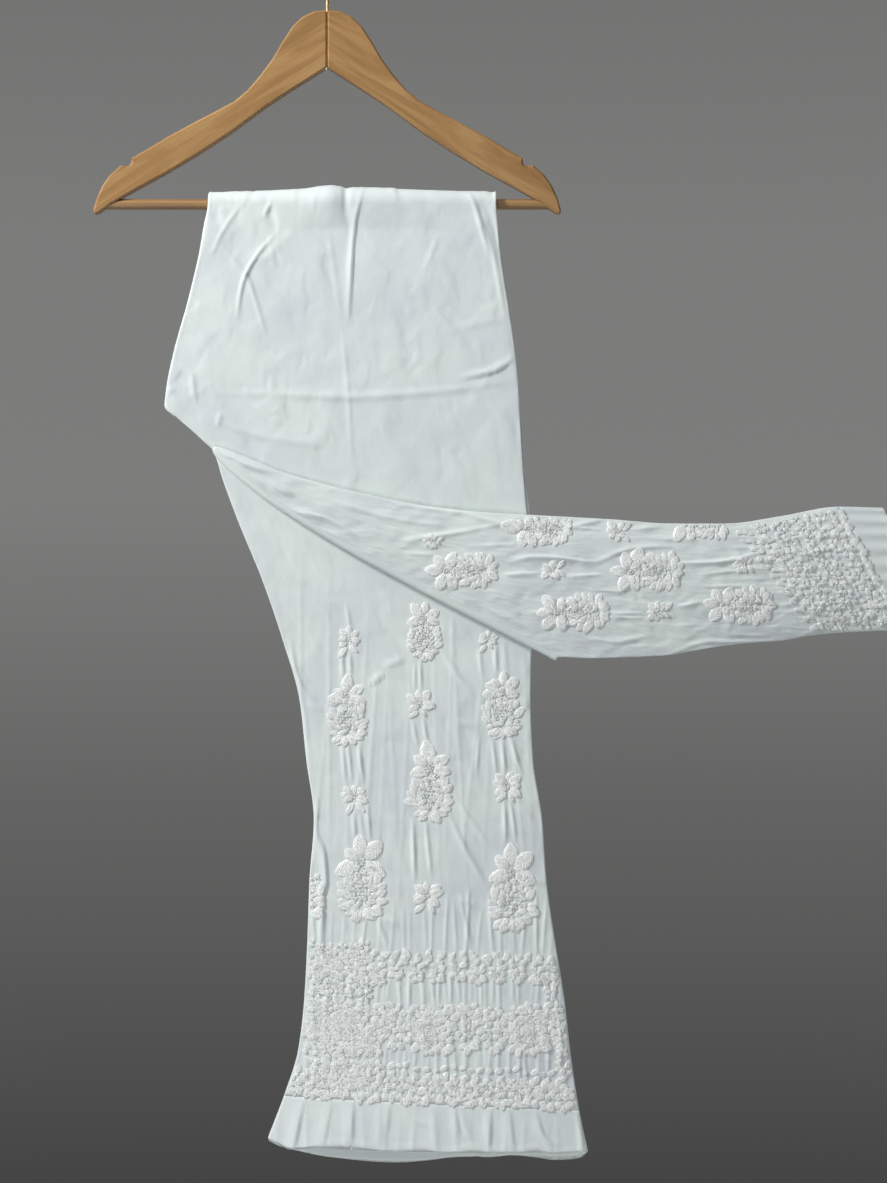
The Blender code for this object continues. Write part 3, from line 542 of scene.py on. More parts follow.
def rowsBetween(keys, places, ends, steps):
    # Rows every so many millimetres in each stretch. The ends of the stretches are numbers of keys.
    wanted = []
    for first, last, step in zip(ends[:-1], ends[1:], steps):
        count = max(2, int(math.ceil((places[last] - places[first]) / step)) + 1)
        wanted.append(np.linspace(places[first], places[last], count)[: None if last == ends[-1] else -1])
    wanted = np.concatenate(wanted)
    rows = smoothRows(places, keys, wanted)
    rows[:, 6:9] /= np.linalg.norm(rows[:, 6:9], axis=1, keepdims=True)
    return rows, wanted


def cutBack(rows, *ends):  # pulls each end back by half of what lies between two sewn pieces
    rows = rows.copy()
    for end, inner in ends:
        for part in (slice(0, 3), slice(3, 6)):
            way = rows[inner, part] - rows[end, part]
            rows[end, part] += way / np.linalg.norm(way) * form["sewn"] / 2
    return rows


leftKeys = np.array(hipRows(form["farDepth"], form["farAtWaist"]) + legRows("leftLeg", towardsViewer))
rightKeys = hipRows(form["nearDepth"], form["nearAtWaist"]) + legRows("thigh", towardsViewer) + foldRows()
foldKey = len(rightKeys) - 1  # where the swung stretch starts
rightKeys = np.array(rightKeys + legRows("swung", awayFromViewer))
leftPlaces, rightPlaces = distances(leftKeys), distances(rightKeys)
hipCount = len(form["hipBehind"]) + form["arcSteps"] - 1 + len(form["hipFront"])
foldFirst = foldKey - form["foldSteps"]
arcFirst, arcLast = len(form["hipBehind"]) - 1, len(form["hipBehind"]) - 1 + form["arcSteps"]


def centreCurve(rows, outer, columns):
    # A panel's middle line across the leg: flat, crowned by the 2.5th power of the distance from its centre, and
    # turning in on a quarter ellipse at both edges. Above the crotch the left edge turns to the other leg instead.
    width = np.linalg.norm(rows[:, 3:6] - rows[:, 0:3], axis=1)
    wall, seamSide = form["wall"], form["seam"] / 2
    start, stop = wall / 2, (width - wall / 2)[:, None]
    edge, middle, join, spread = (rows[:, i : i + 1] for i in (9, 10, 11, 12))
    bend = np.radians([[0.0, 30.0, 60.0]])

    def quarter(low):  # how far in, how far up, and the way along
        rise = edge - low
        across = np.sqrt(0.9 * rise)
        way = np.stack([across * np.sin(bend), rise * np.cos(bend)], axis=-1)
        return across, across * (1 - np.cos(bend)), low + rise * np.sin(bend), way

    roundRight, inward, rightB, rightT = quarter(seamSide)
    rightA, rightB, rightT = (stop - inward)[:, ::-1], rightB[:, ::-1], (rightT * [1, -1])[:, ::-1]
    if outer:
        roundLeft, inward, leftB, leftT = quarter(seamSide * (1 - join) + (seamSide - spread) * join)
        leftA, flatFrom = start + inward, start + roundLeft
    else:
        roundLeft = np.where(join > 0.5, spread - seamSide - edge, edge - seamSide)
        back = np.array([[1.0, 2 / 3, 1 / 3]])
        angle = math.pi / 2 * (1 - 2 * join) * back
        length = roundLeft * math.pi / 2
        flatFrom = start + form["innerTuck"] * np.sqrt(np.clip(join, 0, 1)) + roundLeft
        leftA = flatFrom - length * back * np.sinc(angle / math.pi)
        leftB = edge - length * back * (angle / 2) * np.sinc(angle / 2 / math.pi) ** 2
        leftT = np.stack([np.cos(angle), np.sin(angle)], axis=-1)
    share = np.linspace(0, 1, columns)[None, :]
    a = flatFrom + (stop - roundRight - flatFrom) * share
    b = edge + (middle - edge) * (1 - np.abs(2 * share - 1) ** 2.5)
    t = np.stack([np.gradient(a, axis=1), np.gradient(b, axis=1)], axis=-1)
    a, b, t = (np.concatenate(p, axis=1) for p in ((leftA, a, rightA), (leftB, b, rightB), (leftT, t, rightT)))
    return a, b, t / np.linalg.norm(t, axis=2, keepdims=True), width[:, None]


def panelGrid(rows, outer, away, columns, relief, places, sewnEnd):
    # The outside and inside of a panel: its middle line in each section, moved out by half the cloth and the relief.
    a, b, tangent, width = centreCurve(rows, outer, columns)
    across = (rows[:, 3:6] - rows[:, 0:3]) / width
    normal = rows[:, 6:9] * (away if outer else -away)

    def at(a, b):
        flat = rows[:, None, 0:3] + across[:, None] * a[..., None] + normal[:, None] * b[..., None]
        return flat + rows[:, None, 13:16] * sagShare(a / width)[..., None]

    down = np.repeat(places[:, None], a.shape[1], axis=1)
    middle = at(a, b)
    lift = relief(middle[..., 0], -middle[..., 2], middle[..., 1], a, width, down)
    lift = lift * ramp(np.minimum(a, width - a) - 1.0, 3)
    if sewnEnd:
        lift = lift * ramp(places[-1] - down, 5)
    lift = np.maximum(lift, -0.6 * np.abs(b))
    outA, outB = -tangent[..., 1], tangent[..., 0]
    half = form["cloth"] / 2
    outside, inside = (at(a + outA * (lift + h), b + outB * (lift + h)) for h in (half, -half))
    return {"outside": outside, "inside": inside, "a": a, "width": width, "down": down, "places": places}


def makePanel(name, grid, finish):
    points = np.concatenate([grid["outside"].reshape(-1, 3), grid["inside"].reshape(-1, 3)])
    faces = outwards(points, wallFaces(*grid["outside"].shape[:2]))
    flat = np.stack([grid["a"], -grid["down"]], axis=-1).reshape(-1, 2) * mm
    return makePiece(name, points, [faces], finish, {"cloth": np.concatenate([flat, flat])})


# ---- creases, listed one by one

creases = {  # height, width, then x and drop of each point, then the profile where it isn't soft
    "hip": (
        (1.6, 2.4, (-50, 285, -66, 303.5, -76.5, 321.5, -81, 335.5, -85, 363)),
        (1.2, 2.4, (-100.5, 294, -77.5, 321.5, -73, 329.5, -66, 351.5, -58, 379)),
        (0.8, 3, (-79, 253, -89, 266.5, -100.5, 285, -108.5, 303.5)), (1, 3, (-52.5, 253, -59.5, 266.5)),
        (-1.3, 5, (-54, 257, -49, 280.5)), (1.6, 3, (34.5, 244, 27.5, 269, 24.5, 296.5, 22, 342, 21, 365), "tuck"),
        (0.6, 4.5, (14, 374, 16, 388.5, 20, 434, 21, 448, 23.5, 497), "sharp"),
        (0.5, 4, (0, 276, 7, 319.5, 13, 365)),
        (1.1, 8, (-105, 434, -43.5, 435, 21, 437.5, 71, 435, 128.5, 429.5, 181, 420), "sharp"),
        (1.7, 3, (134, 245, 140, 257.5, 146.5, 280.5, 153.5, 303.5)),
        (-2, 3.2, (149, 253, 161.5, 289, 169.5, 331, 176.5, 383.5, 181, 417.5)),
        (1, 3.2, (143, 262, 156, 298, 163, 331, 168, 362)), (2, 3.6, (176.5, 401.5, 158.5, 413, 128.5, 420), "tuck"),
        (1.2, 3.2, (-139.5, 408.5, -128, 417.5, -125.5, 434, -123.5, 443)), (1.2, 3, (-152, 430.5, -144, 431.5)),
        (0.6, 4, (105.5, 285, 91.5, 319.5)), (0.8, 3, (-103, 466, -100.5, 452)), (0.5, 7, (-27.5, 276, -61.5, 310)),
        (0.5, 6, (163.5, 363, 118, 374)), (0.7, 6, (-108.5, 459.5, -61.5, 474.5, 3, 484)),
    ),
    "leg": (
        (1.3, 3, (-35, 668, -28.5, 703, -6.5, 732.5)), (1, 2.6, (-21.5, 727.5, -3, 733.5)),
        (1.4, 2.4, (75.5, 684.5, 52, 692.5)), (1.5, 2.4, (56, 699, 38.5, 711.5), "tuck"),
        (1.3, 2.6, (108, 677, 130, 709.5, 141, 720)), (0.9, 2.2, (18.5, 634, 22, 657.5)),
        (1.1, 2.2, (14, 674.5, 15, 703)), (1.2, 2.2, (21.5, 679.5, 22.5, 703)), (1, 2.2, (83, 688, 83, 714.5)),
        (1.2, 2.2, (88, 686, 89, 716.5)), (1.1, 2.2, (80, 742, 86.5, 768.5)), (1.3, 2.2, (90.5, 742, 95.5, 766.5)),
        (1, 2.2, (144, 676.5, 146.5, 701)), (1.3, 2.2, (159, 672, 160.5, 699.5)), (1, 2.2, (14, 763.5, 17, 798.5)),
        (1.4, 2.2, (19.5, 763.5, 23.5, 800.5)), (1.4, 2.2, (30, 768.5, 34.5, 803)), (1.2, 2.2, (24.5, 831, 27, 853)),
        (0.9, 2.2, (31, 829.5, 34, 854.5)), (1.3, 2.2, (38.5, 824.5, 41, 857)), (1, 2.2, (144, 757.5, 141, 794.5)),
        (1.2, 2.2, (156, 760, 160.5, 794.5)), (1.3, 2.2, (164.5, 760, 169, 792)),
        (1.4, 2.2, (172, 757.5, 184.5, 794.5)), (1.2, 2.2, (168, 820.5, 169, 859)),
        (1.3, 2.2, (173.5, 820.5, 178.5, 857)), (1.2, 2.4, (182, 824.5, 195, 835.5)),
        (1.7, 2.4, (81, 837.5, 83, 894)), (1.4, 2.4, (93, 837.5, 98.5, 889.5)),
        (1.8, 2.6, (114.5, 831, 130, 863.5, 151.5, 900.5)), (1.2, 2.6, (121, 816, 138.5, 842, 154, 863.5)),
        (2.2, 3.2, (-8, 818.5, -10.5, 846.5, -2.5, 868, -0.5, 896, -4, 909, -2.5, 967.5), "tuck"),
        (1.3, 2.6, (-2.5, 907, 17, 922.5)), (1.3, 2.6, (52, 929, 69, 937.5)), (1.2, 2.4, (48.5, 933, 58.5, 961)),
        (1.5, 2.8, (125.5, 909, 145, 920), "tuck"), (1, 2.4, (125.5, 909, 136.5, 959)),
        (0.9, 2.4, (105, 799.5, 118, 809)), (0.7, 3, (31, 743, 23.5, 724)), (0.8, 3, (121, 744.5, 141, 748.5)),
        (1.1, 2.6, (182.5, 724, 193, 731.5)), (1.1, 2.6, (194.5, 894, 209, 898)),
        (1, 4, (-29.5, 701, -22.5, 743, -20, 790)), (0.6, 7, (135, 714.5, 121, 743, 124, 780.5)),
        (0.6, 8, (55, 799.5, 61.5, 846.5, 56, 894)),
    ),
    "swung": (
        (2, 3, (-104, 489, -86, 496, -65, 505, -52, 508), "tuck"),
        (1.8, 4.5, (-92, 497, -68, 517, -49, 535, -27, 549), "tuck"),
        (1.8, 3, (-31, 545.5, -6.5, 550, 15, 560, 30, 571), "tuck"), (1.2, 4, (-52, 519, -38, 528, -30, 531)),
        (2, 2.8, (129, 545.5, 139.5, 549.5, 171.5, 560), "tuck"), (1, 3, (69, 540, 130.5, 547)),
        (1.1, 2.8, (69, 574.5, 104, 569, 171.5, 557)), (0.9, 3.5, (3, 535, 69, 554, 116, 559.5)),
        (0.9, 2.6, (69, 585, 101, 586.5)), (2, 2.6, (173, 593, 195, 588, 221.5, 589.5, 245, 593, 257, 593), "tuck"),
        (1.3, 2.8, (257, 593, 274.5, 585, 292, 580, 327, 579)),
        (2.2, 2.6, (327.5, 594.5, 362.5, 593.5, 389, 589.5, 409, 583.5), "tuck"),
        (1.6, 2.4, (166, 605.5, 186, 604, 201, 604), "tuck"), (1.6, 2.4, (228.5, 606.5, 260, 605), "tuck"),
        (1.2, 2, (268.5, 642, 297.5, 642)), (1.2, 2, (268.5, 645.5, 297.5, 646.5)),
        (1.6, 2.4, (330, 635, 350.5, 631), "tuck"), (1.3, 2.4, (221.5, 563, 245, 557, 260, 554)),
        (1, 2.2, (230.5, 561.5, 260, 563)), (1.1, 2.2, (286, 563, 315.5, 560.5)),
        (1.2, 3, (245, 665.5, 274.5, 668.5, 303.5, 662.5)),
        (1.5, 3, (321.5, 681.5, 362.5, 668.5, 421, 671.5, 459.5, 659.5)),
        (1, 4, (144.5, 633, 175, 648.5, 199.5, 661.5)), (1.2, 2.4, (192, 641.5, 220, 641.5)),
        (1.4, 2.4, (450.5, 586.5, 480, 579)), (1.7, 2.4, (494, 563, 523.5, 564), "tuck"),
        (1.3, 2.4, (503.5, 574.5, 528.5, 571.5)), (1.7, 2.4, (509, 593, 532, 591.5), "tuck"),
        (1.3, 2.4, (509.5, 615, 532, 612.5)), (1.3, 2.4, (511, 635, 532, 634)), (1, 2.2, (352.5, 605.5, 395, 601)),
        (1, 2.2, (352.5, 617, 401.5, 616)), (0.9, 2.4, (248.5, 620, 281.5, 622)),
        (0.9, 2.4, (135, 578.5, 178.5, 577.5)), (0.8, 3, (296, 571, 352.5, 573.5)),
        (1.1, 2.2, (395, 629.5, 423.5, 633)),
    ),
    "hem": (
        (2.4, 4, (-21, 1096, -33, 1148), "tuck"), (1.6, 4, (5.5, 1096, -4, 1148), "tuck"),
        (2.6, 3.4, (24.5, 1096, 23.5, 1145.5), "tuck"), (1.4, 4, (49.5, 1098, 50, 1147)),
        (1.6, 3, (59.5, 1098, 57.5, 1130), "tuck"), (1, 3, (73, 1100, 76.5, 1116, 104, 1130)),
        (2.4, 3, (119, 1098, 125, 1135), "tuck"), (1.6, 3.4, (123, 1098, 135, 1142.5)),
        (2.2, 3.4, (155, 1100, 153, 1146.5), "tuck"), (2, 3.4, (171, 1102, 176.5, 1149), "tuck"),
        (2.2, 3.4, (196.5, 1109.5, 204.5, 1135, 220, 1145.5), "tuck"), (1.6, 3.4, (236, 1102, 242, 1149)),
        (1.4, 5, (100, 1102, 103, 1149)),
    ),
    "rearHem": (
        (1.4, 2, (61, 1098, 61, 1166), "tuck"), (1.6, 4, (-20, 1096, -30, 1150)),
        (1.6, 4, (150, 1100, 152, 1160), "tuck"), (1.8, 4, (206, 1104, 214, 1160), "tuck"),
    ),
    "rearLeg": (
        (1.6, 9, (84, 500, 92, 760, 98, 1070)), (1.6, 7, (20, 640, 24, 860, 20, 1080)),
        (1.4, 8, (150, 540, 160, 800, 168, 1080)), (1, 9, (-80, 440, 20, 452, 150, 446), "sharp"),
        (1.1, 4, (-60, 560, 10, 640, 50, 760)), (1.1, 4, (180, 600, 120, 690, 100, 800)),
        (1.3, 3, (30, 880, 60, 930, 66, 975), "tuck"), (1.2, 3, (190, 850, 150, 900, 140, 960)),
        (1, 3, (60, 700, 120, 712), "tuck"), (0.9, 3, (-10, 800, 40, 812)),
    ),
    "rearSwung": (
        (1.6, 4, (120, 560, 240, 590, 330, 600)), (1.6, 4, (150, 610, 260, 640, 400, 632), "tuck"),
        (1.4, 3, (260, 570, 350, 575, 470, 566)), (1.2, 3, (300, 655, 400, 650, 500, 640)),
        (1.2, 5, (60, 590, 140, 640)), (1.6, 3, (350, 612, 470, 604), "tuck"),
    ),
}
creaseWidths = {"hip": 0.66, "leg": 0.82, "swung": 0.75}  # against those in the table


def bell(off, width):
    return np.exp(-((off / width) ** 2))


def pathHeight(x, drop, part):
    # Each crease is a smooth path. Its height fades out at both ends, and across it is a bell, a straight-sided
    # crest or a tuck, which is steep on one side and long on the other.
    total = np.zeros_like(x)
    for height, width, path, *profile in creases[part]:
        path, width = np.reshape(path, (-1, 2)).astype(float), width * creaseWidths.get(part, 1.0)
        if len(path) > 2:
            knots = np.arange(len(path), dtype=float)
            path = smoothRows(knots, path, np.linspace(0, knots[-1], 5 * (len(path) - 1) + 1))
        steps = np.diff(path, axis=0)
        lengths = np.hypot(*steps.T)
        before = np.concatenate([[0.0], np.cumsum(lengths)])
        nearest = np.full_like(x, 1e9)
        along = np.zeros_like(x)
        for start, step, length, done in zip(path[:-1], steps, lengths, before):
            t = np.clip(((x - start[0]) * step[0] + (drop - start[1]) * step[1]) / length**2, 0, 1)
            offX, offY = x - start[0] - t * step[0], drop - start[1] - t * step[1]
            side = np.where(offX * step[1] - offY * step[0] < 0, -1.0, 1.0)
            off = np.hypot(offX, offY)
            closer = off < np.abs(nearest)
            nearest = np.where(closer, off * side, nearest)
            along = np.where(closer, (done + t * length) / before[-1], along)
        fade = np.sin(math.pi * np.clip(along, 0.02, 0.98)) ** 0.6
        if profile == ["sharp"]:
            shape = np.clip(1 - np.abs(nearest) / width, 0, 1)
        elif profile == ["tuck"]:
            shape = bell(nearest, np.where(nearest > 0, 0.5 * width, 1.7 * width))
        else:
            shape = bell(nearest, width)
        total += height * fade * shape
    return total


def ripples(x, drop, seed, shortest, longest, count=14):
    # A sum of waves of random direction, length and phase, each bent by the one before, about 1 high.
    chance = np.random.default_rng(seed)
    total, bent = np.zeros_like(x), np.zeros_like(x)
    for _ in range(count):
        angle, phase = chance.uniform(0, 2 * math.pi, 2)
        length = math.exp(chance.uniform(math.log(shortest), math.log(longest)))
        turn = 2 * math.pi / length
        wave = np.sin((x * math.cos(angle) + drop * math.sin(angle)) * turn + phase + 1.3 * bent)
        total += wave
        bent = wave
    return total / math.sqrt(count)


def puckers(x, drop, part, seed):
    # Short lines that the stitching gathers, jittered in place, slant, height and reach.
    chance = np.random.default_rng(seed)
    total = np.zeros_like(x)
    for left, right, top, bottom, spacing, height, width in puckerRows[part]:
        for place in np.arange(left, right, spacing):
            shift, slant, grown, early, late = chance.uniform(-1, 1, 5)
            first, last = top + 0.22 * early * (bottom - top), bottom + 0.12 * late * (bottom - top)
            share = (drop - first) / (last - first)
            fade = np.sin(math.pi * np.clip(share, 0, 1)) ** 0.5
            off = x - place - 0.3 * spacing * shift - (share - 0.5) * 0.10 * slant * (bottom - top)
            total += height * (1 + 0.45 * grown) * fade * bell(off, width)
    return total


puckerRows = {  # from and to where across, from and to which drop, spacing, height, width
    "leg": (
        (-22, 205, 640, 905, 12.5, 0.34, 2.2), (-14, 214, 912, 966, 10.5, 0.75, 1.5),
        (-16, 222, 984, 1012, 9.5, 0.8, 1.5), (-20, 228, 1050, 1084, 9.5, 0.8, 1.5),
        (-16, 222, 950, 1092, 13.0, 0.5, 1.4),
    ),
    "rear": ((-14, 214, 905, 966, 9.5, 0.9, 2.4), (-18, 222, 984, 1090, 9.0, 0.9, 2.4)),
    "swung": ((546, 664, 380, 420, 9.0, 0.8, 1.7), (546, 664, 408, 530, 8.5, 0.6, 1.6)),  # turned: drop, then x
    "hem": ((-50, 244, 1094, 1185, 17.0, 0.45, 2.4),),
}


def clearOfFold(x, drop):  # 0 under the turned leg and 1 well clear of its fold
    offX, offZ = x - form["foldLeft"][0], form["foldLeft"][1] - drop
    along = offX * foldWay[0] + offZ * foldWay[2]
    off = offX * foldOut[0] + offZ * foldOut[2] - form["foldSag"] * sagShare(along / foldLength)
    return ramp(off - 3, 12)


def gathersBehind(a, width, down, y, seed):
    # Flutes that fall from the elastic and die out towards the bar.
    share = np.clip(1 - down / 85.0, 0, 1) * (y > 0)
    chance = np.random.default_rng(seed)
    total = np.zeros_like(a)
    for k, count in enumerate((17, 26, 37)):
        total += np.sin(2 * math.pi * count * a / width + chance.uniform(0, 6.28) + 1.4 * np.sin(a / 23 + k))
    return 0.55 * total * share**0.8


rollRows = {  # height, how x and drop are stretched, seed, shortest and longest wave
    "leftFront": ((0.26, 1.0, 1.0, 5, 34, 110), (0.05, 1.0, 0.5, 6, 9, 20)),
    "leftBack": ((0.5, 1.0, 1.0, 7, 26, 90),),
    "hip": ((0.34, 1.0, 1.0, 8, 40, 130), (0.03, 1.0, 1.0, 9, 9, 22)),
    "behind": ((0.4, 1.0, 1.0, 10, 26, 80),),
    "rearSwung": ((0.35, 1.0, 1.0, 14, 24, 70),),
    "rightFront": ((0.36, 0.6, 1.0, 15, 18, 60), (0.10, 0.4, 1.0, 16, 6, 14)),
}


def rolls(part, x, drop):
    table = rollRows[part]
    return sum(high * ripples(wide * x, tall * drop, *rest) for high, wide, tall, *rest in table)


overBar = {
    "lift": (  # x and how far the cloth stands off
        (-113, -0.5), (-72, 0.0), (-48, 1.4), (-25, 2.6), (3, 6.0), (13, 4.5), (18, 2.7), (24, 3.6), (69, 2.8),
        (116, 0.8), (160, -0.6),
    ),
    "before": 14,  # how far it reaches on either side of the turn over the bar
    "after": 26,
}


def liftOverBar(x, down):
    # The outer layer lies loose over the bar: it stands off by a curve through the table's points, fading over
    # half a sine wave from behind the bar to a little way down the front.
    places = np.array(overBar["lift"], float)
    high = smoothRows(places[:, 0], places[:, 1:], np.clip(x, *places[[0, -1], 0]).ravel()).reshape(x.shape)
    first, last = rightPlaces[arcFirst] - overBar["before"], rightPlaces[arcLast] + overBar["after"]
    return high * np.sin(math.pi * np.clip((down - first) / (last - first), 0, 1)) ** 1.2


fades = {  # over how many mm each part's creases come in
    "crotch": 430,  # the drop where the legs start
    "hip": 14,
    "waist": 20,
    "swung": 9,
    "rearSwung": 30,
}


def leftFrontRelief(x, drop, y, a, width, down):
    lines = pathHeight(x, drop, "leg") + puckers(x, drop, "leg", 11)
    return clearOfFold(x, drop) * (y < 0) * (lines + rolls("leftFront", x, drop))


def leftBackRelief(x, drop, y, a, width, down):
    lines = pathHeight(x, drop, "rearLeg") + puckers(x, drop, "rear", 12) + rolls("leftBack", x, drop)
    return ramp(drop - fades["crotch"], 60) * (y < 0) * lines + gathersBehind(a, width, down, y, 31)


def rightBackRelief(x, drop, y, a, width, down):
    foldPlace = rightPlaces[foldFirst]
    lines = pathHeight(x, drop, "hip") + rolls("hip", x, drop)
    front = np.where((y < 0) & (down < foldPlace), ramp(foldPlace - down, fades["hip"]) * lines, 0.0)
    later = ramp(down - rightPlaces[foldKey] - 8, fades["rearSwung"])
    rear = pathHeight(x, drop, "rearSwung") + puckers(drop, x, "swung", 13)
    behind = gathersBehind(a, width, down, y, 32) + rolls("behind", x, drop) * ramp(down, fades["waist"])
    body = front + np.where(y > 0, behind, 0.0) + liftOverBar(x, down)
    return body + later * (rear + rolls("rearSwung", x, drop))


def rightFrontRelief(x, drop, y, a, width, down):
    lines = 1.15 * pathHeight(x, drop, "swung") + puckers(drop, x, "swung", 17)
    return ramp(down - rightPlaces[foldKey] - 2, fades["swung"]) * (lines + rolls("rightFront", x, drop))


def hemRelief(part, seed):
    def relief(x, drop, y, a, width, down):
        share = (down - down.min()) / (down.max() - down.min())
        turned = 0.35 * ramp(share - 0.86, 0.05)  # the hem's fold is thicker
        return share**0.5 * (pathHeight(x, drop, part) + puckers(x, drop, "hem", seed)) + turned

    return relief


def swungHemRelief(phase, flutes=9):
    def relief(x, drop, y, a, width, down):
        share = (down - down.min()) / (down.max() - down.min())
        waves = np.sin(2 * math.pi * flutes * a / width + phase + np.sin(a / 17))
        return 0.9 * waves * (0.4 + 0.6 * share) + 0.35 * ramp(share - 0.8, 0.08)

    return relief


legs = {  # keys, places, side, where the stretches end
    "left": (leftKeys, leftPlaces, -1, (0, arcFirst, arcLast, hipCount, len(leftKeys) - 2)),
    "right": (rightKeys, rightPlaces, 1, (0, arcFirst, arcLast, hipCount, foldFirst, foldKey, len(rightKeys) - 2)),
}
panels = {  # the leg's outer panel or inner, columns, mm between rows in each stretch, finish, relief, solids
    "leftFront": (False, 190, (9.0, 2.6, 14.0, 3.1), cotton, leftFrontRelief, ["left_front"]),
    "leftBack": (True, 84, (4.0, 2.0, 8.0, 4.0), cottonRear, leftBackRelief, ["left_back"]),
    "rightFront": (
        False, 128, (8.0, 2.6, 12.0, 8.0, 0.9, 2.2), cottonSwung, rightFrontRelief,
        ["right_front_hip", "right_front_leg"],
    ),
    "rightBack": (
        True, 186, (6.0, 2.2, 2.3, 2.6, 0.9, 9.0), cotton, rightBackRelief, ["right_back_hip", "right_back_leg"],
    ),
    "leftHemFront": (False, 190, (1.9,), cottonHemPaintedLight, hemRelief("hem", 21), ["left_hem_front"]),
    "leftHemBack": (True, 150, (1.9,), cottonHemRearPaintedLight, hemRelief("rearHem", 22), ["left_hem_back"]),
    "rightHemFront": (False, 128, (1.9,), cottonSwung, swungHemRelief(0.4), ["right_hem_front"]),
    "rightHemBack": (True, 186, (1.9,), cottonSwung, swungHemRelief(2.1), ["right_hem_back"]),
}
hemEdges = {  # how deep the hem bows, then x and drop of the points along the hanging leg's edge
    "leftHemFront": (18.0, (
        (-56, 1137), (-54, 1138), (-34, 1148), (15, 1143), (42, 1146), (58, 1149), (91, 1146), (115, 1151),
        (137, 1147), (159, 1150), (180, 1150), (198, 1147), (213, 1152), (244, 1150), (248, 1149),
    )),
    "leftHemBack": (52.0, (
        (-56, 1137), (-48, 1143), (-20, 1153), (6, 1158), (65, 1163), (110, 1159), (127, 1155), (151, 1158),
        (175, 1156), (200, 1158), (213, 1160), (238, 1158), (248, 1150),
    )),
}


def hangHem(outside, edge, share):  # moves a hem's outer wall down until its last row follows the edge
    edge = np.array(edge, float)
    last = outside[-1]
    target = smoothRows(edge[:, 0], edge[:, 1:], np.clip(last[:, 0], *edge[[0, -1], 0]))[:, 0]
    outside[..., 2] -= share[:, None] * (target + last[:, 2])[None]


grids, cloths = {}, {}
for name, (outer, columns, steps, finish, relief, solids) in panels.items():
    keys, places, away, ends = legs["left" if name.startswith("left") else "right"]
    hem = "Hem" in name
    rows, wanted = rowsBetween(keys, places, (len(keys) - 2, len(keys) - 1) if hem else ends, steps)
    rows = cutBack(rows, (0, 1)) if hem else cutBack(rows, (0, 1), (-1, -2))
    if hem:
        bow, edge = hemEdges.get(name, (0.0, None))
        share = (wanted - wanted[0]) / (wanted[-1] - wanted[0])
        rows[:, 13:16] = share[:, None] * np.array([0.0, 0.0, -bow])
    grids[name] = panelGrid(rows, outer, away, columns, relief, wanted, not hem)
    if name in hemEdges:
        hangHem(grids[name]["outside"], edge, share)
    cloths[name] = makePanel(name, grids[name], finish)
    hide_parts(*solids)
    print(name, grids[name]["outside"].shape)


# ---- the gathered waistband, one loop behind the bar

waistband = {
    "height": 34.0,
    "thickness": 1.0,
    "channels": 4,  # of elastic
    "gathers": 21,  # along each panel
    "depth": 0.75,
    "columns": 116,
    "levels": 26,
}


def makeWaistband():
    # The loop follows the four panels' top sections in turn. A sine pushes it out in gathers that differ from
    # level to level, and each channel of elastic rounds it between two rows of sewing.
    loop = []
    for leg, outer in (("right", True), ("right", False), ("left", False), ("left", True)):
        rows, side = legs[leg][0][:2], legs[leg][2] if outer else -legs[leg][2]
        a, b, _, _ = centreCurve(rows, outer, waistband["columns"])
        stretch = np.stack([rows[0, 0] + a[0], rows[0, 1] + b[0] * side], axis=1)
        loop.append((stretch if side > 0 else stretch[::-1])[:-1])
    loop = np.concatenate(loop)
    tangent = np.roll(loop, -1, axis=0) - np.roll(loop, 1, axis=0)
    tangent /= np.linalg.norm(tangent, axis=1, keepdims=True)
    normal = np.stack([-tangent[:, 1], tangent[:, 0]], axis=1)
    around = np.concatenate([[0.0], np.cumsum(np.linalg.norm(np.diff(loop, axis=0), axis=1))])
    level = np.linspace(0, 1, waistband["levels"])[:, None]
    turn = 2 * math.pi * 4 * waistband["gathers"] / around[-1]
    gathers = np.sin(around * turn + 1.5 * np.sin(around / 31) + 0.6 * np.sin(7 * level)) * 0.5 + 0.5
    channel = np.abs(np.sin(math.pi * waistband["channels"] * level))
    out = waistband["depth"] * (gathers * (0.55 + 0.45 * channel) + 0.35 * channel)
    fallen = waistband["height"] * np.repeat(level, len(loop), axis=1)
    drop = form["waistDrop"] + form["seam"] / 2 + fallen
    half = waistband["thickness"] / 2
    plans = [loop[None] + normal[None] * (out + offset)[..., None] for offset in (half, -half)]
    points = np.concatenate([np.concatenate([plan, -drop[..., None]], axis=2).reshape(-1, 3) for plan in plans])
    faces = outwards(points, wallFaces(*drop.shape, closed=True))
    flat = np.stack(np.broadcast_arrays(around, -fallen), axis=-1).reshape(-1, 2) * mm
    maps = {"cloth": np.concatenate([flat, flat])}
    made = makePiece("waistbandCasing", points, [faces], casing, maps)
    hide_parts("waistband")
    return made


waist = makeWaistband()
print("waistband made")


# ---- raised stitching, laid on the panels petal by petal

petalShape = {
    "along": (0.13, 0.38, 0.66, 0.89),  # where its rows lie between the two tips
    "across": (-1.0, -0.84, -0.55, 0.0, 0.55, 0.84, 1.0),
    "height": 0.86,
    "sunk": -0.40,
}


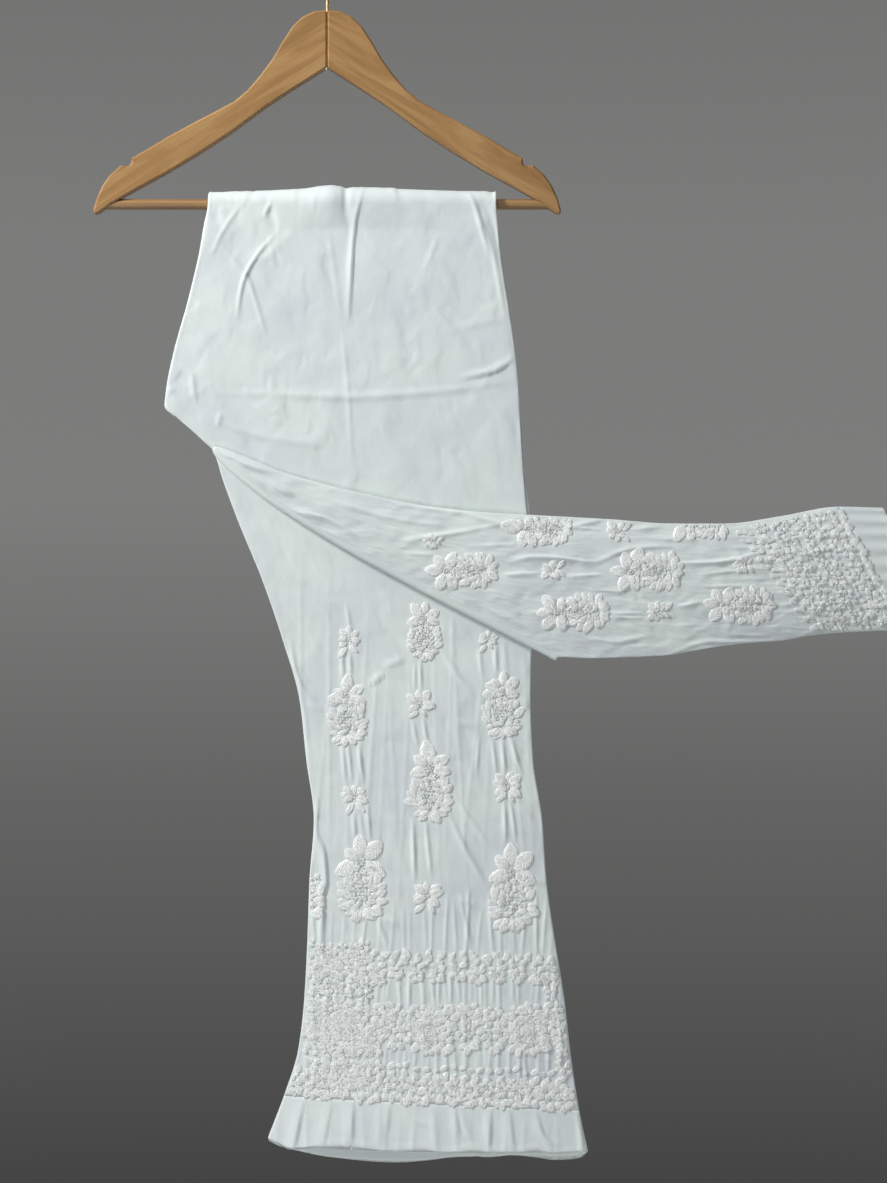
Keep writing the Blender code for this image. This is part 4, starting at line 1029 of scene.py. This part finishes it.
def petalPattern():
    # Half width is the sine of half a turn along the petal, to the power 0.8. Across it are two padded rims with
    # the vein sunk between them. Both tips are single points.
    along = np.array(petalShape["along"])[:, None]
    across = np.array(petalShape["across"])[None, :]
    half = np.sin(math.pi * along**0.85) ** 0.8
    rise = np.clip(1 - across**6, 0, 1) * (1 - 0.50 * bell(across, 0.40))
    high = rise * (0.45 + 0.55 * np.sin(math.pi * along) ** 0.7)
    high = np.where(np.abs(across) == 1, petalShape["sunk"], high)
    grid = [np.broadcast_to(v, high.shape).ravel() for v in (along, across * half, high, across, along)]
    tips = [[0.0, 1.0], [0.0, 0.0], [petalShape["sunk"]] * 2, [0.0, 0.0], [0.0, 1.0]]
    rows, columns = high.shape
    number = np.arange(rows * columns).reshape(rows, columns)
    quads = np.stack([number[:-1, :-1], number[1:, :-1], number[1:, 1:], number[:-1, 1:]], axis=-1).reshape(-1, 4)
    rims = ((number.size, number[0]), (number.size + 1, number[-1, ::-1]))
    fans = [np.stack(np.broadcast_arrays(tip, rim[:-1], rim[1:]), axis=-1) for tip, rim in rims]
    fans[1] = fans[1][::-1]
    return [np.concatenate([g, t]) for g, t in zip(grid, tips)], quads, np.concatenate(fans)


def knotPattern():  # a low six-sided dome
    number = np.arange(6)
    turn, ahead = number * math.pi / 3, (number + 1) % 6
    out, height = np.array([1.0, 0.72])[:, None], ((petalShape["sunk"],) * 6, (0.62,) * 6)
    x, y, z = (np.append(v, top) for v, top in ((out * np.cos(turn), 0.0), (out * np.sin(turn), 0.0), (height, 1.0)))
    quads = np.stack([number, ahead, ahead + 6, number + 6], axis=-1)
    return (x, y, z, x, y), quads, np.stack([number + 6, ahead + 6, np.full(6, 12)], axis=-1)


patterns = {5: petalPattern(), 3: knotPattern()}  # by how many numbers a mark has


def marks(*values):  # petals as x, y, way, length and width, or knots as x, y and radius
    return np.stack(np.broadcast_arrays(*values), axis=1)


def ring(s, t, angles, length, width, start=1.2):  # petals round a point, each pointing outwards
    way = np.radians(np.asarray(angles, float))
    return marks(s + start * np.cos(way), t + start * np.sin(way), way, length, width)


def flower(s, t, size, petals=5, turn=90.0):
    return ring(s, t, turn + np.arange(petals) * 360.0 / petals, size, 0.74 * size)


def arch(s, t, halfWidth, halfHeight, angles, length, width):  # petals along an ellipse, pointing outwards
    turn = np.radians(angles)
    way = np.arctan2(np.sin(turn) / halfHeight, np.cos(turn) / halfWidth)
    return marks(s + halfWidth * np.cos(turn), t + halfHeight * np.sin(turn), way, length, width)


def knotsIn(s, t, halfWidth, halfHeight, pitch, radius=1.2):
    # A grid of knots whose every other row is shifted, kept inside an ellipse.
    across, up = np.meshgrid(np.arange(-20, 21) * pitch, np.arange(-20, 21) * pitch * 0.86)
    across = across + (np.arange(41) % 2)[:, None] * pitch / 2
    inside = (across / halfWidth) ** 2 + (up / halfHeight) ** 2 < 1
    return marks(s + across[inside], t + up[inside], radius)


def squiggles(s, t, halfWidth, halfHeight, count, seed):  # short narrow loops of thread lying in all directions
    chance = np.random.default_rng(seed)
    turn, out = chance.uniform(0, 2 * math.pi, count), np.sqrt(chance.uniform(0.02, 1, count))
    x, y = s + halfWidth * out * np.cos(turn), t + halfHeight * out * np.sin(turn)
    return marks(x, y, chance.uniform(0, 2 * math.pi, count), 6.2, 2.9)


def sprayMotif(grown=1.0):
    # A five-petalled flower over two small ones, above a rounded basket: broad leaves lean outwards along a U,
    # smaller ones follow it inside, and loops of thread fill the middle.
    petals = [squiggles(0, -12, 8.5, 11.0, 26, 61)]
    for size, angles, length, width, lean in (
        ((11.6, 14.5), np.linspace(-84, 24, 7), 11.5, 7.8, 38.0), ((7.6, 9.4), np.linspace(-80, 50, 6), 8.2, 5.4, 62.0)
    ):
        leaves = arch(0, -14, *size, angles, length, width)
        leaves[:, 2] += math.radians(lean)
        other = leaves.copy()
        other[:, 0], other[:, 2] = -other[:, 0], math.pi - other[:, 2]
        petals += [leaves, other]
    petals = np.concatenate([
        *petals,
        ring(0, -26, [205, 238, 270, 302, 335], 10.5, 7.0, 2.0),
        flower(-7.5, 3.0, 7.4, 5, 40),
        flower(7.5, 3.0, 7.4, 5, 120),
        ring(0, 10, [-16, 196], 17.0, 12.5, 3.0),
        ring(0, 11, [34, 146], 18.0, 13.5, 3.0),
        ring(0, 12, [90], 18.5, 13.0, 3.0),
        ring(0, 12, [-18, 33, 88, 149, 199], 11.0, 7.4, 2.4),
    ])
    basket, heart, base = (0, -12, 9.0, 11.5, 3.6, 1.3), (0, 11, 3.4, 3.4, 2.2, 1.4), (0, 4.0, 15, 3.0, 3.2, 1.3)
    knots = np.concatenate([knotsIn(*place) for place in (basket, heart, base)])
    petals[:, [0, 1, 3, 4]] *= grown
    knots[:, :2] *= grown
    return petals, knots


def smallMotif(grown=1.0):  # a seven-petalled flower, open at the top, with two leaves under it
    leaves = ring(0, -3.5, [232, 308], 13.5, 6.0, 1.5)
    petals = np.concatenate([leaves, ring(0, 1.5, [90, 44, 136, 0, 180, -38, 218], 12.5, 8.8, 1.4)])
    petals[:, [0, 1, 3, 4]] *= grown
    return petals, knotsIn(0, 1.5, 3.0, 3.0, 2.3, 1.4)


bandRings = {  # angles, width against length, start; a zigzag's leaves lean in turn to either side
    "zigzag": (([128], [52]), 0.60, 0.0),
    "pair": (([24, 156],) * 2, 0.62, 0.6),
    "fan": (([-20, -55, -90, -125, -160],) * 2, 0.70, 0.6),
}


def bandMotif(width, rows):
    # Rows of flowers, and of leaves in zigzags, in pairs and in fans that scallop an edge. No row is quite straight.
    petals, knots = [], []
    for kind, level, pitch, size in rows:
        for k, s in enumerate(np.arange(pitch / 2, width, pitch)):
            t = level + 1.3 * math.sin(2.1 * k + level)
            if kind == "flower":
                petals.append(flower(s, t, size * (1 + 0.16 * math.sin(5.3 * k + level)), 6, 31.0 * k))
                knots.append(knotsIn(s, t, 2.2, 2.2, 2.2, 1.4))
            else:
                angles, wide, start = bandRings[kind]
                petals.append(ring(s, t, angles[k % 2], size, wide * size, start))
    return np.concatenate(petals), np.concatenate(knots)


def withHem(panel, hem, first):  # a panel from its row numbered first, and its hem band, as one grid
    keys = ("outside", "a", "width", "places")
    whole = {key: np.concatenate([grids[panel][key][first:], grids[hem][key][1:]]) for key in keys}
    whole["outside"] = whole["outside"][:, 3:-3]
    return whole


def bilinear(grid, v, u):
    v0, u0 = (np.clip(w.astype(int), 0, n - 2) for w, n in zip((v, u), grid.shape))
    fv, fu = (v - v0)[..., None], (u - u0)[..., None]
    upper = grid[v0, u0] * (1 - fu) + grid[v0, u0 + 1] * fu
    lower = grid[v0 + 1, u0] * (1 - fu) + grid[v0 + 1, u0 + 1] * fu
    return upper * (1 - fv) + lower * fv


def surfaceNormals(grid, facing):  # cross product of the grid's two directions, turned to the side that faces out
    normal = np.cross(np.gradient(grid, axis=0), np.gradient(grid, axis=1))
    normal /= np.linalg.norm(normal, axis=2, keepdims=True) + 1e-9
    return np.where((normal @ facing)[..., None] < 0, -normal, normal)


def findByPicture(points, x, drop):
    # Grid places whose x and drop are the wanted ones: each mark starts from the nearest of a few grid points, and
    # Newton's steps do the rest.
    flat = points[..., [0, 2]] * np.array([1.0, -1.0])
    rows, columns = np.meshgrid(np.arange(2, len(points) - 2, 5), np.arange(1, points.shape[1] - 1, 5), indexing="ij")
    few = flat[rows, columns].reshape(-1, 2)
    centre = np.stack([x.mean(axis=1), drop.mean(axis=1)], axis=1)
    nearest = np.argmin(((centre[:, None] - few[None]) ** 2).sum(axis=2), axis=1)
    v, u = (np.repeat(w.ravel()[nearest].astype(float)[:, None], x.shape[1], axis=1) for w in (rows, columns))
    downward, across = np.gradient(flat, axis=0), np.gradient(flat, axis=1)
    for _ in range(9):
        here = bilinear(flat, v, u)
        missX, missY = x - here[..., 0], drop - here[..., 1]
        dv, du = bilinear(downward, v, u), bilinear(across, v, u)
        area = dv[..., 0] * du[..., 1] - dv[..., 1] * du[..., 0]
        area = np.where(np.abs(area) < 1e-6, 1e-6, area)
        stepV = (missX * du[..., 1] - missY * du[..., 0]) / area
        stepU = (dv[..., 0] * missY - dv[..., 1] * missX) / area
        v = np.clip(v + np.clip(stepV, -6, 6), 0, points.shape[0] - 1.001)
        u = np.clip(u + np.clip(stepU, -6, 6), 0, points.shape[1] - 1.001)
    here = bilinear(flat, v, u)
    return v, u, np.hypot(x - here[..., 0], drop - here[..., 1])


def findByLength(grid, total):
    # Distance above the hem's seam gives the row, and millimetres across the cloth give the column.
    places = grid["places"]
    share = (grid["a"] / grid["width"])[0, 3:-3]

    def finder(across, above):
        v = np.interp(total - above, places, np.arange(len(places)))
        wanted = across / np.interp(v, np.arange(len(places)), grid["width"][:, 0])
        u = np.interp(wanted, share, np.arange(len(share)))
        miss = np.where((wanted < share[0]) | (wanted > share[-1]) | (total - above > places[-1] + 1.0), 9.0, 0.0)
        return v, u, miss

    return finder


laying = {
    "place": 0.45,  # how much place, turn and size vary
    "turn": 0.16,
    "size": 0.12,
    "above": 0.15,  # the cloth's middle line
    "miss": 0.8,  # how far off a mark may come before it is left out
}


def layStitches(name, points, facing, petals, knots, seed, finder=None):
    # Every petal and knot gets its own small change of place, turn and size, then its pattern is laid on the cloth.
    finder = finder or (lambda x, drop: findByPicture(points, x, drop))
    chance = np.random.default_rng(seed)
    parts, faces, maps, count = [], [], [], 0
    normals = surfaceNormals(points, facing)
    for some in (petals, knots):
        values, quads, fans = patterns[some.shape[1]]
        jitter = chance.normal(0, 1, (len(some), 4))
        x0, y0 = some[:, 0:1] + laying["place"] * jitter[:, 0:1], some[:, 1:2] + laying["place"] * jitter[:, 1:2]
        if some is petals:
            angle = some[:, 2:3] + laying["turn"] * jitter[:, 2:3]
            grown = 1 + laying["size"] * jitter[:, 3:4]
            along, across = values[0][None] * some[:, 3:4] * grown, values[1][None] * some[:, 4:5] * grown / 2
            high = values[2][None] * petalShape["height"] * (0.85 + 0.3 * chance.random((len(some), 1)))
        else:
            angle = jitter[:, 2:3]
            along, across = values[0][None] * some[:, 2:3], values[1][None] * some[:, 2:3]
            high = values[2][None] * (0.8 + 0.4 * chance.random((len(some), 1)))
        x = x0 + along * np.cos(angle) - across * np.sin(angle)
        y = y0 + along * np.sin(angle) + across * np.cos(angle)
        v, u, miss = finder(x, y)
        keep = miss.max(axis=1) < laying["miss"]
        v, u, high = v[keep], u[keep], high[keep]
        laid = bilinear(points, v, u) + bilinear(normals, v, u) * (high + laying["above"])[..., None]
        offsets = (np.arange(len(laid)) * laid.shape[1])[:, None, None] + count
        faces += [(part[None] + offsets).reshape(-1, part.shape[1]) for part in (quads, fans)]
        parts.append(laid.reshape(-1, 3))
        maps.append(np.tile(np.stack([values[3], values[4]], axis=1), (len(laid), 1)))
        count += laid.shape[0] * laid.shape[1]
    parts = np.concatenate(parts)
    corner = parts[faces[0][0]]
    if np.cross(corner[1] - corner[0], corner[2] - corner[1]) @ facing < 0:
        faces = [f[:, ::-1] for f in faces]
    print(name, len(petals), "petals", len(knots), "knots")
    return makePiece(name, parts, faces, thread, {"petal": np.concatenate(maps)})


stitching = {
    "leftSprays": (  # x, drop, size
        (92, 656, 0.83), (19, 731, 0.97), (166, 725, 0.94), (98, 800, 1.06), (33, 890, 1.17), (175, 899, 1.17),
        (-20, 897, 1.0),
    ),
    "leftBouquets": ((22, 1030, 0.72), (97, 1034, 0.70), (192, 1032, 0.74), (-8, 1020, 0.6)),
    "leftFlowers": (
        (20, 668, 0.88), (152, 667, 0.75), (88, 729, 1.0), (26, 816, 1.0), (171, 807, 1.05), (95, 910, 1.15),
    ),
    "leftBands": (  # drop at the left and at the right, then rows as kind, level, pitch and size
        (970, 977, (
            ("zigzag", 5.0, 5.2, 9.0), ("zigzag", 0.5, 5.6, 8.4), ("pair", -3.0, 19.0, 8.4), ("fan", -9.0, 19.0, 8.6),
            ("flower", -8.5, 19.0, 8.0),
        )),
        (1032, 1036, (
            ("pair", 19.0, 23.0, 9.0), ("flower", 12.0, 16.0, 8.8), ("zigzag", 2.0, 6.0, 9.0),
            ("flower", -3.0, 15.0, 8.8), ("zigzag", -14.0, 6.4, 8.6), ("fan", -14.0, 23.0, 9.6),
        )),
        (1080, 1094, (
            ("pair", 14.0, 17.0, 9.0), ("zigzag", 4.0, 5.6, 9.0), ("flower", -1.0, 14.0, 9.0),
            ("zigzag", -8.0, 6.0, 8.4), ("fan", -11.0, 15.0, 9.0),
        )),
    ),
    "leftSpan": (-38, 278),  # where the bands start and how wide they are
    "dense": (-9, 62, 958, 1098, 11.0),  # left, right, top, bottom and pitch of the extra flowers
    "edgeLeaves": (  # x, how fast it runs out, its first drop, last drop and pitch, along both edges of the leg
        (-19, 1040, -0.42, 930, 1096, 6.5),
        (206, 950, 0.145, 968, 1100, 6.0),
    ),
    "rightSprays": (
        (124, 602, 0.98), (198, 562, 0.92), (229, 641, 1.02), (298, 603, 1.02), (349, 557, 0.90), (385, 634, 1.0),
    ),
    "rightFlowers": ((213, 601, 0.8), (275, 565, 0.8), (312, 641, 0.8), (393, 596, 0.7), (100, 574, 0.6)),
    "rightBands": (  # distance above the hem's seam, then rows as on the other leg
        (84, (("zigzag", 5.0, 5.2, 8.2), ("zigzag", 0.5, 5.6, 7.4), ("flower", -8.0, 16.0, 7.8))),
        (47, (
            ("pair", 17.0, 9.0, 5.6), ("flower", 11.0, 11.0, 5.8), ("zigzag", 3.0, 4.6, 6.4),
            ("flower", -5.0, 10.5, 5.8), ("fan", -12.0, 10.0, 6.0),
        )),
        (12, (
            ("pair", 12.0, 12.0, 6.4), ("flower", 3.0, 13.0, 7.6), ("zigzag", -4.0, 5.4, 6.8),
            ("fan", -8.0, 13.5, 8.0),
        )),
    ),
    "rightSpan": 134,
    "squashed": 0.74,  # the swung leg's motifs, across the leg
}


def onLeftLeg(some, x, drop):
    s, t, *rest = some.T
    return marks(x + s, drop - t, *([-rest[0], *rest[1:]] if len(rest) == 3 else rest))


def onSwungLeg(some, x, drop):  # a motif's top points towards the waist
    s, t, *rest = some.T
    if len(rest) == 3:
        rest[0] = np.arctan2(-np.cos(rest[0]), -np.sin(rest[0]))
    return marks(x - t, drop - stitching["squashed"] * s, *rest)


def gatherMotifs(spots, motif, place):
    both = [[place(some, x, drop) for some in motif(grown)] for x, drop, grown in spots]
    return [list(kind) for kind in zip(*both)]


def leftBands():
    petals, knots = [], []
    start, width = stitching["leftSpan"]
    for low, high, rows in stitching["leftBands"]:
        for some, out in zip(bandMotif(width, rows), (petals, knots)):
            out.append(onLeftLeg(some, start, low + (high - low) * some[:, 0] / width))
    return petals, knots


def denseFlowers(chance):
    petals, knots = [], []
    left, right, top, bottom, pitch = stitching["dense"]
    for drop in np.arange(top, bottom, pitch):
        edge = right - 16 + 9 * math.sin(drop / 11) + 6 * math.sin(drop / 4.1)  # the dense part's uneven edge
        for x in np.arange(left, edge, pitch):
            dx, dy, turn = chance.uniform(-1, 1, 3)
            petals.append(flower(x + 4 * dx, drop + 4 * dy, 7.2 + turn, 6, 90 * turn))
            knots.append(knotsIn(x + 4 * dx, drop + 4 * dy, 2.2, 2.2, 2.2, 1.4))
    for x, bend, slope, top, bottom, pitch in stitching["edgeLeaves"]:
        for drop in np.arange(top, bottom, pitch):
            dx, dy, turn = chance.uniform(-1, 1, 3)
            out = x + slope * max(0.0, drop - bend) + 3 * dx
            petals.append(ring(out, drop + 2 * dy, [60 + 50 * turn, 240 + 50 * dx, 150], 7.8, 5.0, 0.5))
    return petals, knots


def together(*groups):  # groups of petals and knots, as one array of each
    return [np.concatenate([some for group in groups for some in group[kind]]) for kind in (0, 1)]


def firstRow(panel, place):
    return int(np.searchsorted(grids[panel]["places"], place))


def stitchLeftFront():
    points = withHem("leftFront", "leftHemFront", firstRow("leftFront", leftPlaces[hipCount + 1]))["outside"]
    shown = together(
        gatherMotifs(stitching["leftSprays"] + stitching["leftBouquets"], sprayMotif, onLeftLeg),
        gatherMotifs(stitching["leftFlowers"], smallMotif, onLeftLeg),
        leftBands(),
        denseFlowers(np.random.default_rng(41)),
    )
    shown = [m[clearOfFold(m[:, 0], m[:, 1]) > 0.15] for m in shown]
    return layStitches("leftFrontStitching", points, towardsViewer, *shown, 51)


def stitchLeftBack():
    points = grids["leftBack"]["outside"][firstRow("leftBack", leftPlaces[hipCount + 1]) :, 3:-3]
    return layStitches("leftBackStitching", points, awayFromViewer, *together(leftBands()), 52)


def stitchSwung(name, panel, hem, facing, motifs, seed):
    grid = withHem(panel, hem, firstRow(panel, rightPlaces[foldKey] + 4))
    points = grid["outside"]
    made = []
    if motifs:
        sprays = gatherMotifs(stitching["rightSprays"], sprayMotif, onSwungLeg)
        flowers = gatherMotifs(stitching["rightFlowers"], smallMotif, onSwungLeg)
        made.append(layStitches(name + "Sprays", points, facing, *together(sprays, flowers), seed))
    bands = [], []
    for above, rows in stitching["rightBands"]:
        for some, out in zip(bandMotif(stitching["rightSpan"], rows), bands):
            some[:, 1] += above
            out.append(some)
    finder = findByLength(grid, rightPlaces[-2])
    return made + [layStitches(name + "Bands", points, facing, *together(bands), seed + 1, finder)]


stitches = {
    "leftFront": [stitchLeftFront()],
    "leftBack": [stitchLeftBack()],
    "rightFront": stitchSwung("rightFrontStitching", "rightFront", "rightHemFront", towardsViewer, True, 53),
    "rightBack": stitchSwung("rightBackStitching", "rightBack", "rightHemBack", awayFromViewer, False, 55),
}
print("stitching laid")


# ---- the hanger keeps its solids and gets its finishes

hanger = {  # solid: finish, slope of the grain, tone
    "hanger_arm_left": ("armLeftWood", 0.56, 1.0),
    "hanger_arm_right": ("armRightWood", -0.56, 1.0),
    "hanger_bar": ("barWood", 0.0, 0.82),
}
looks = {node: woodFinish(*values) for node, values in hanger.items()}
looks["hanger_hook"] = copperFinish()
for node, look in looks.items():
    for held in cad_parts[node].material_slots:
        held.material = look


def addFloor():
    turn = np.linspace(0, 2 * math.pi, 97)[:-1]
    across, back = studio["floorMiddle"] + studio["floorRadius"] * np.cos(turn), studio["floorRadius"] * np.sin(turn)
    rim = np.stack(np.broadcast_arrays(across, back, -studio["floorDrop"]), axis=1)
    mesh = bpy.data.meshes.new("floor")
    mesh.from_pydata(rim.tolist(), [], [list(range(len(rim)))])
    mesh.materials.append(floorFinish())
    floor = bpy.data.objects.new("floor", mesh)
    scene.collection.objects.link(floor)


addFloor()
print("hanger and floor finished")


# ---- what each sheet was cut to, in metres, before it was hung

cuts = {  # width, length, area, how it is held, what it lies on
    "leftFront": (0.31, 1.02, 0.240, "folded", ["hanger_bar"]),
    "leftBack": (0.31, 1.02, 0.240, "folded", ["hanger_bar"]),
    "rightFront": (0.36, 1.02, 0.190, "folded", ["leftFront"]),
    "rightBack": (0.36, 1.02, 0.190, "folded", ["rightFront"]),
    "leftHemFront": (0.305, 0.055, None, "hung", ["leftFront"]),
    "leftHemBack": (0.305, 0.060, None, "hung", ["leftBack"]),
    "rightHemFront": (0.135, 0.044, None, "hung", ["rightFront"]),
    "rightHemBack": (0.135, 0.044, None, "hung", ["rightBack"]),
}
for name, (width, length, area, held, support) in cuts.items():
    support, added = [cloths.get(s, s) for s in support], stitches.get(name, [])
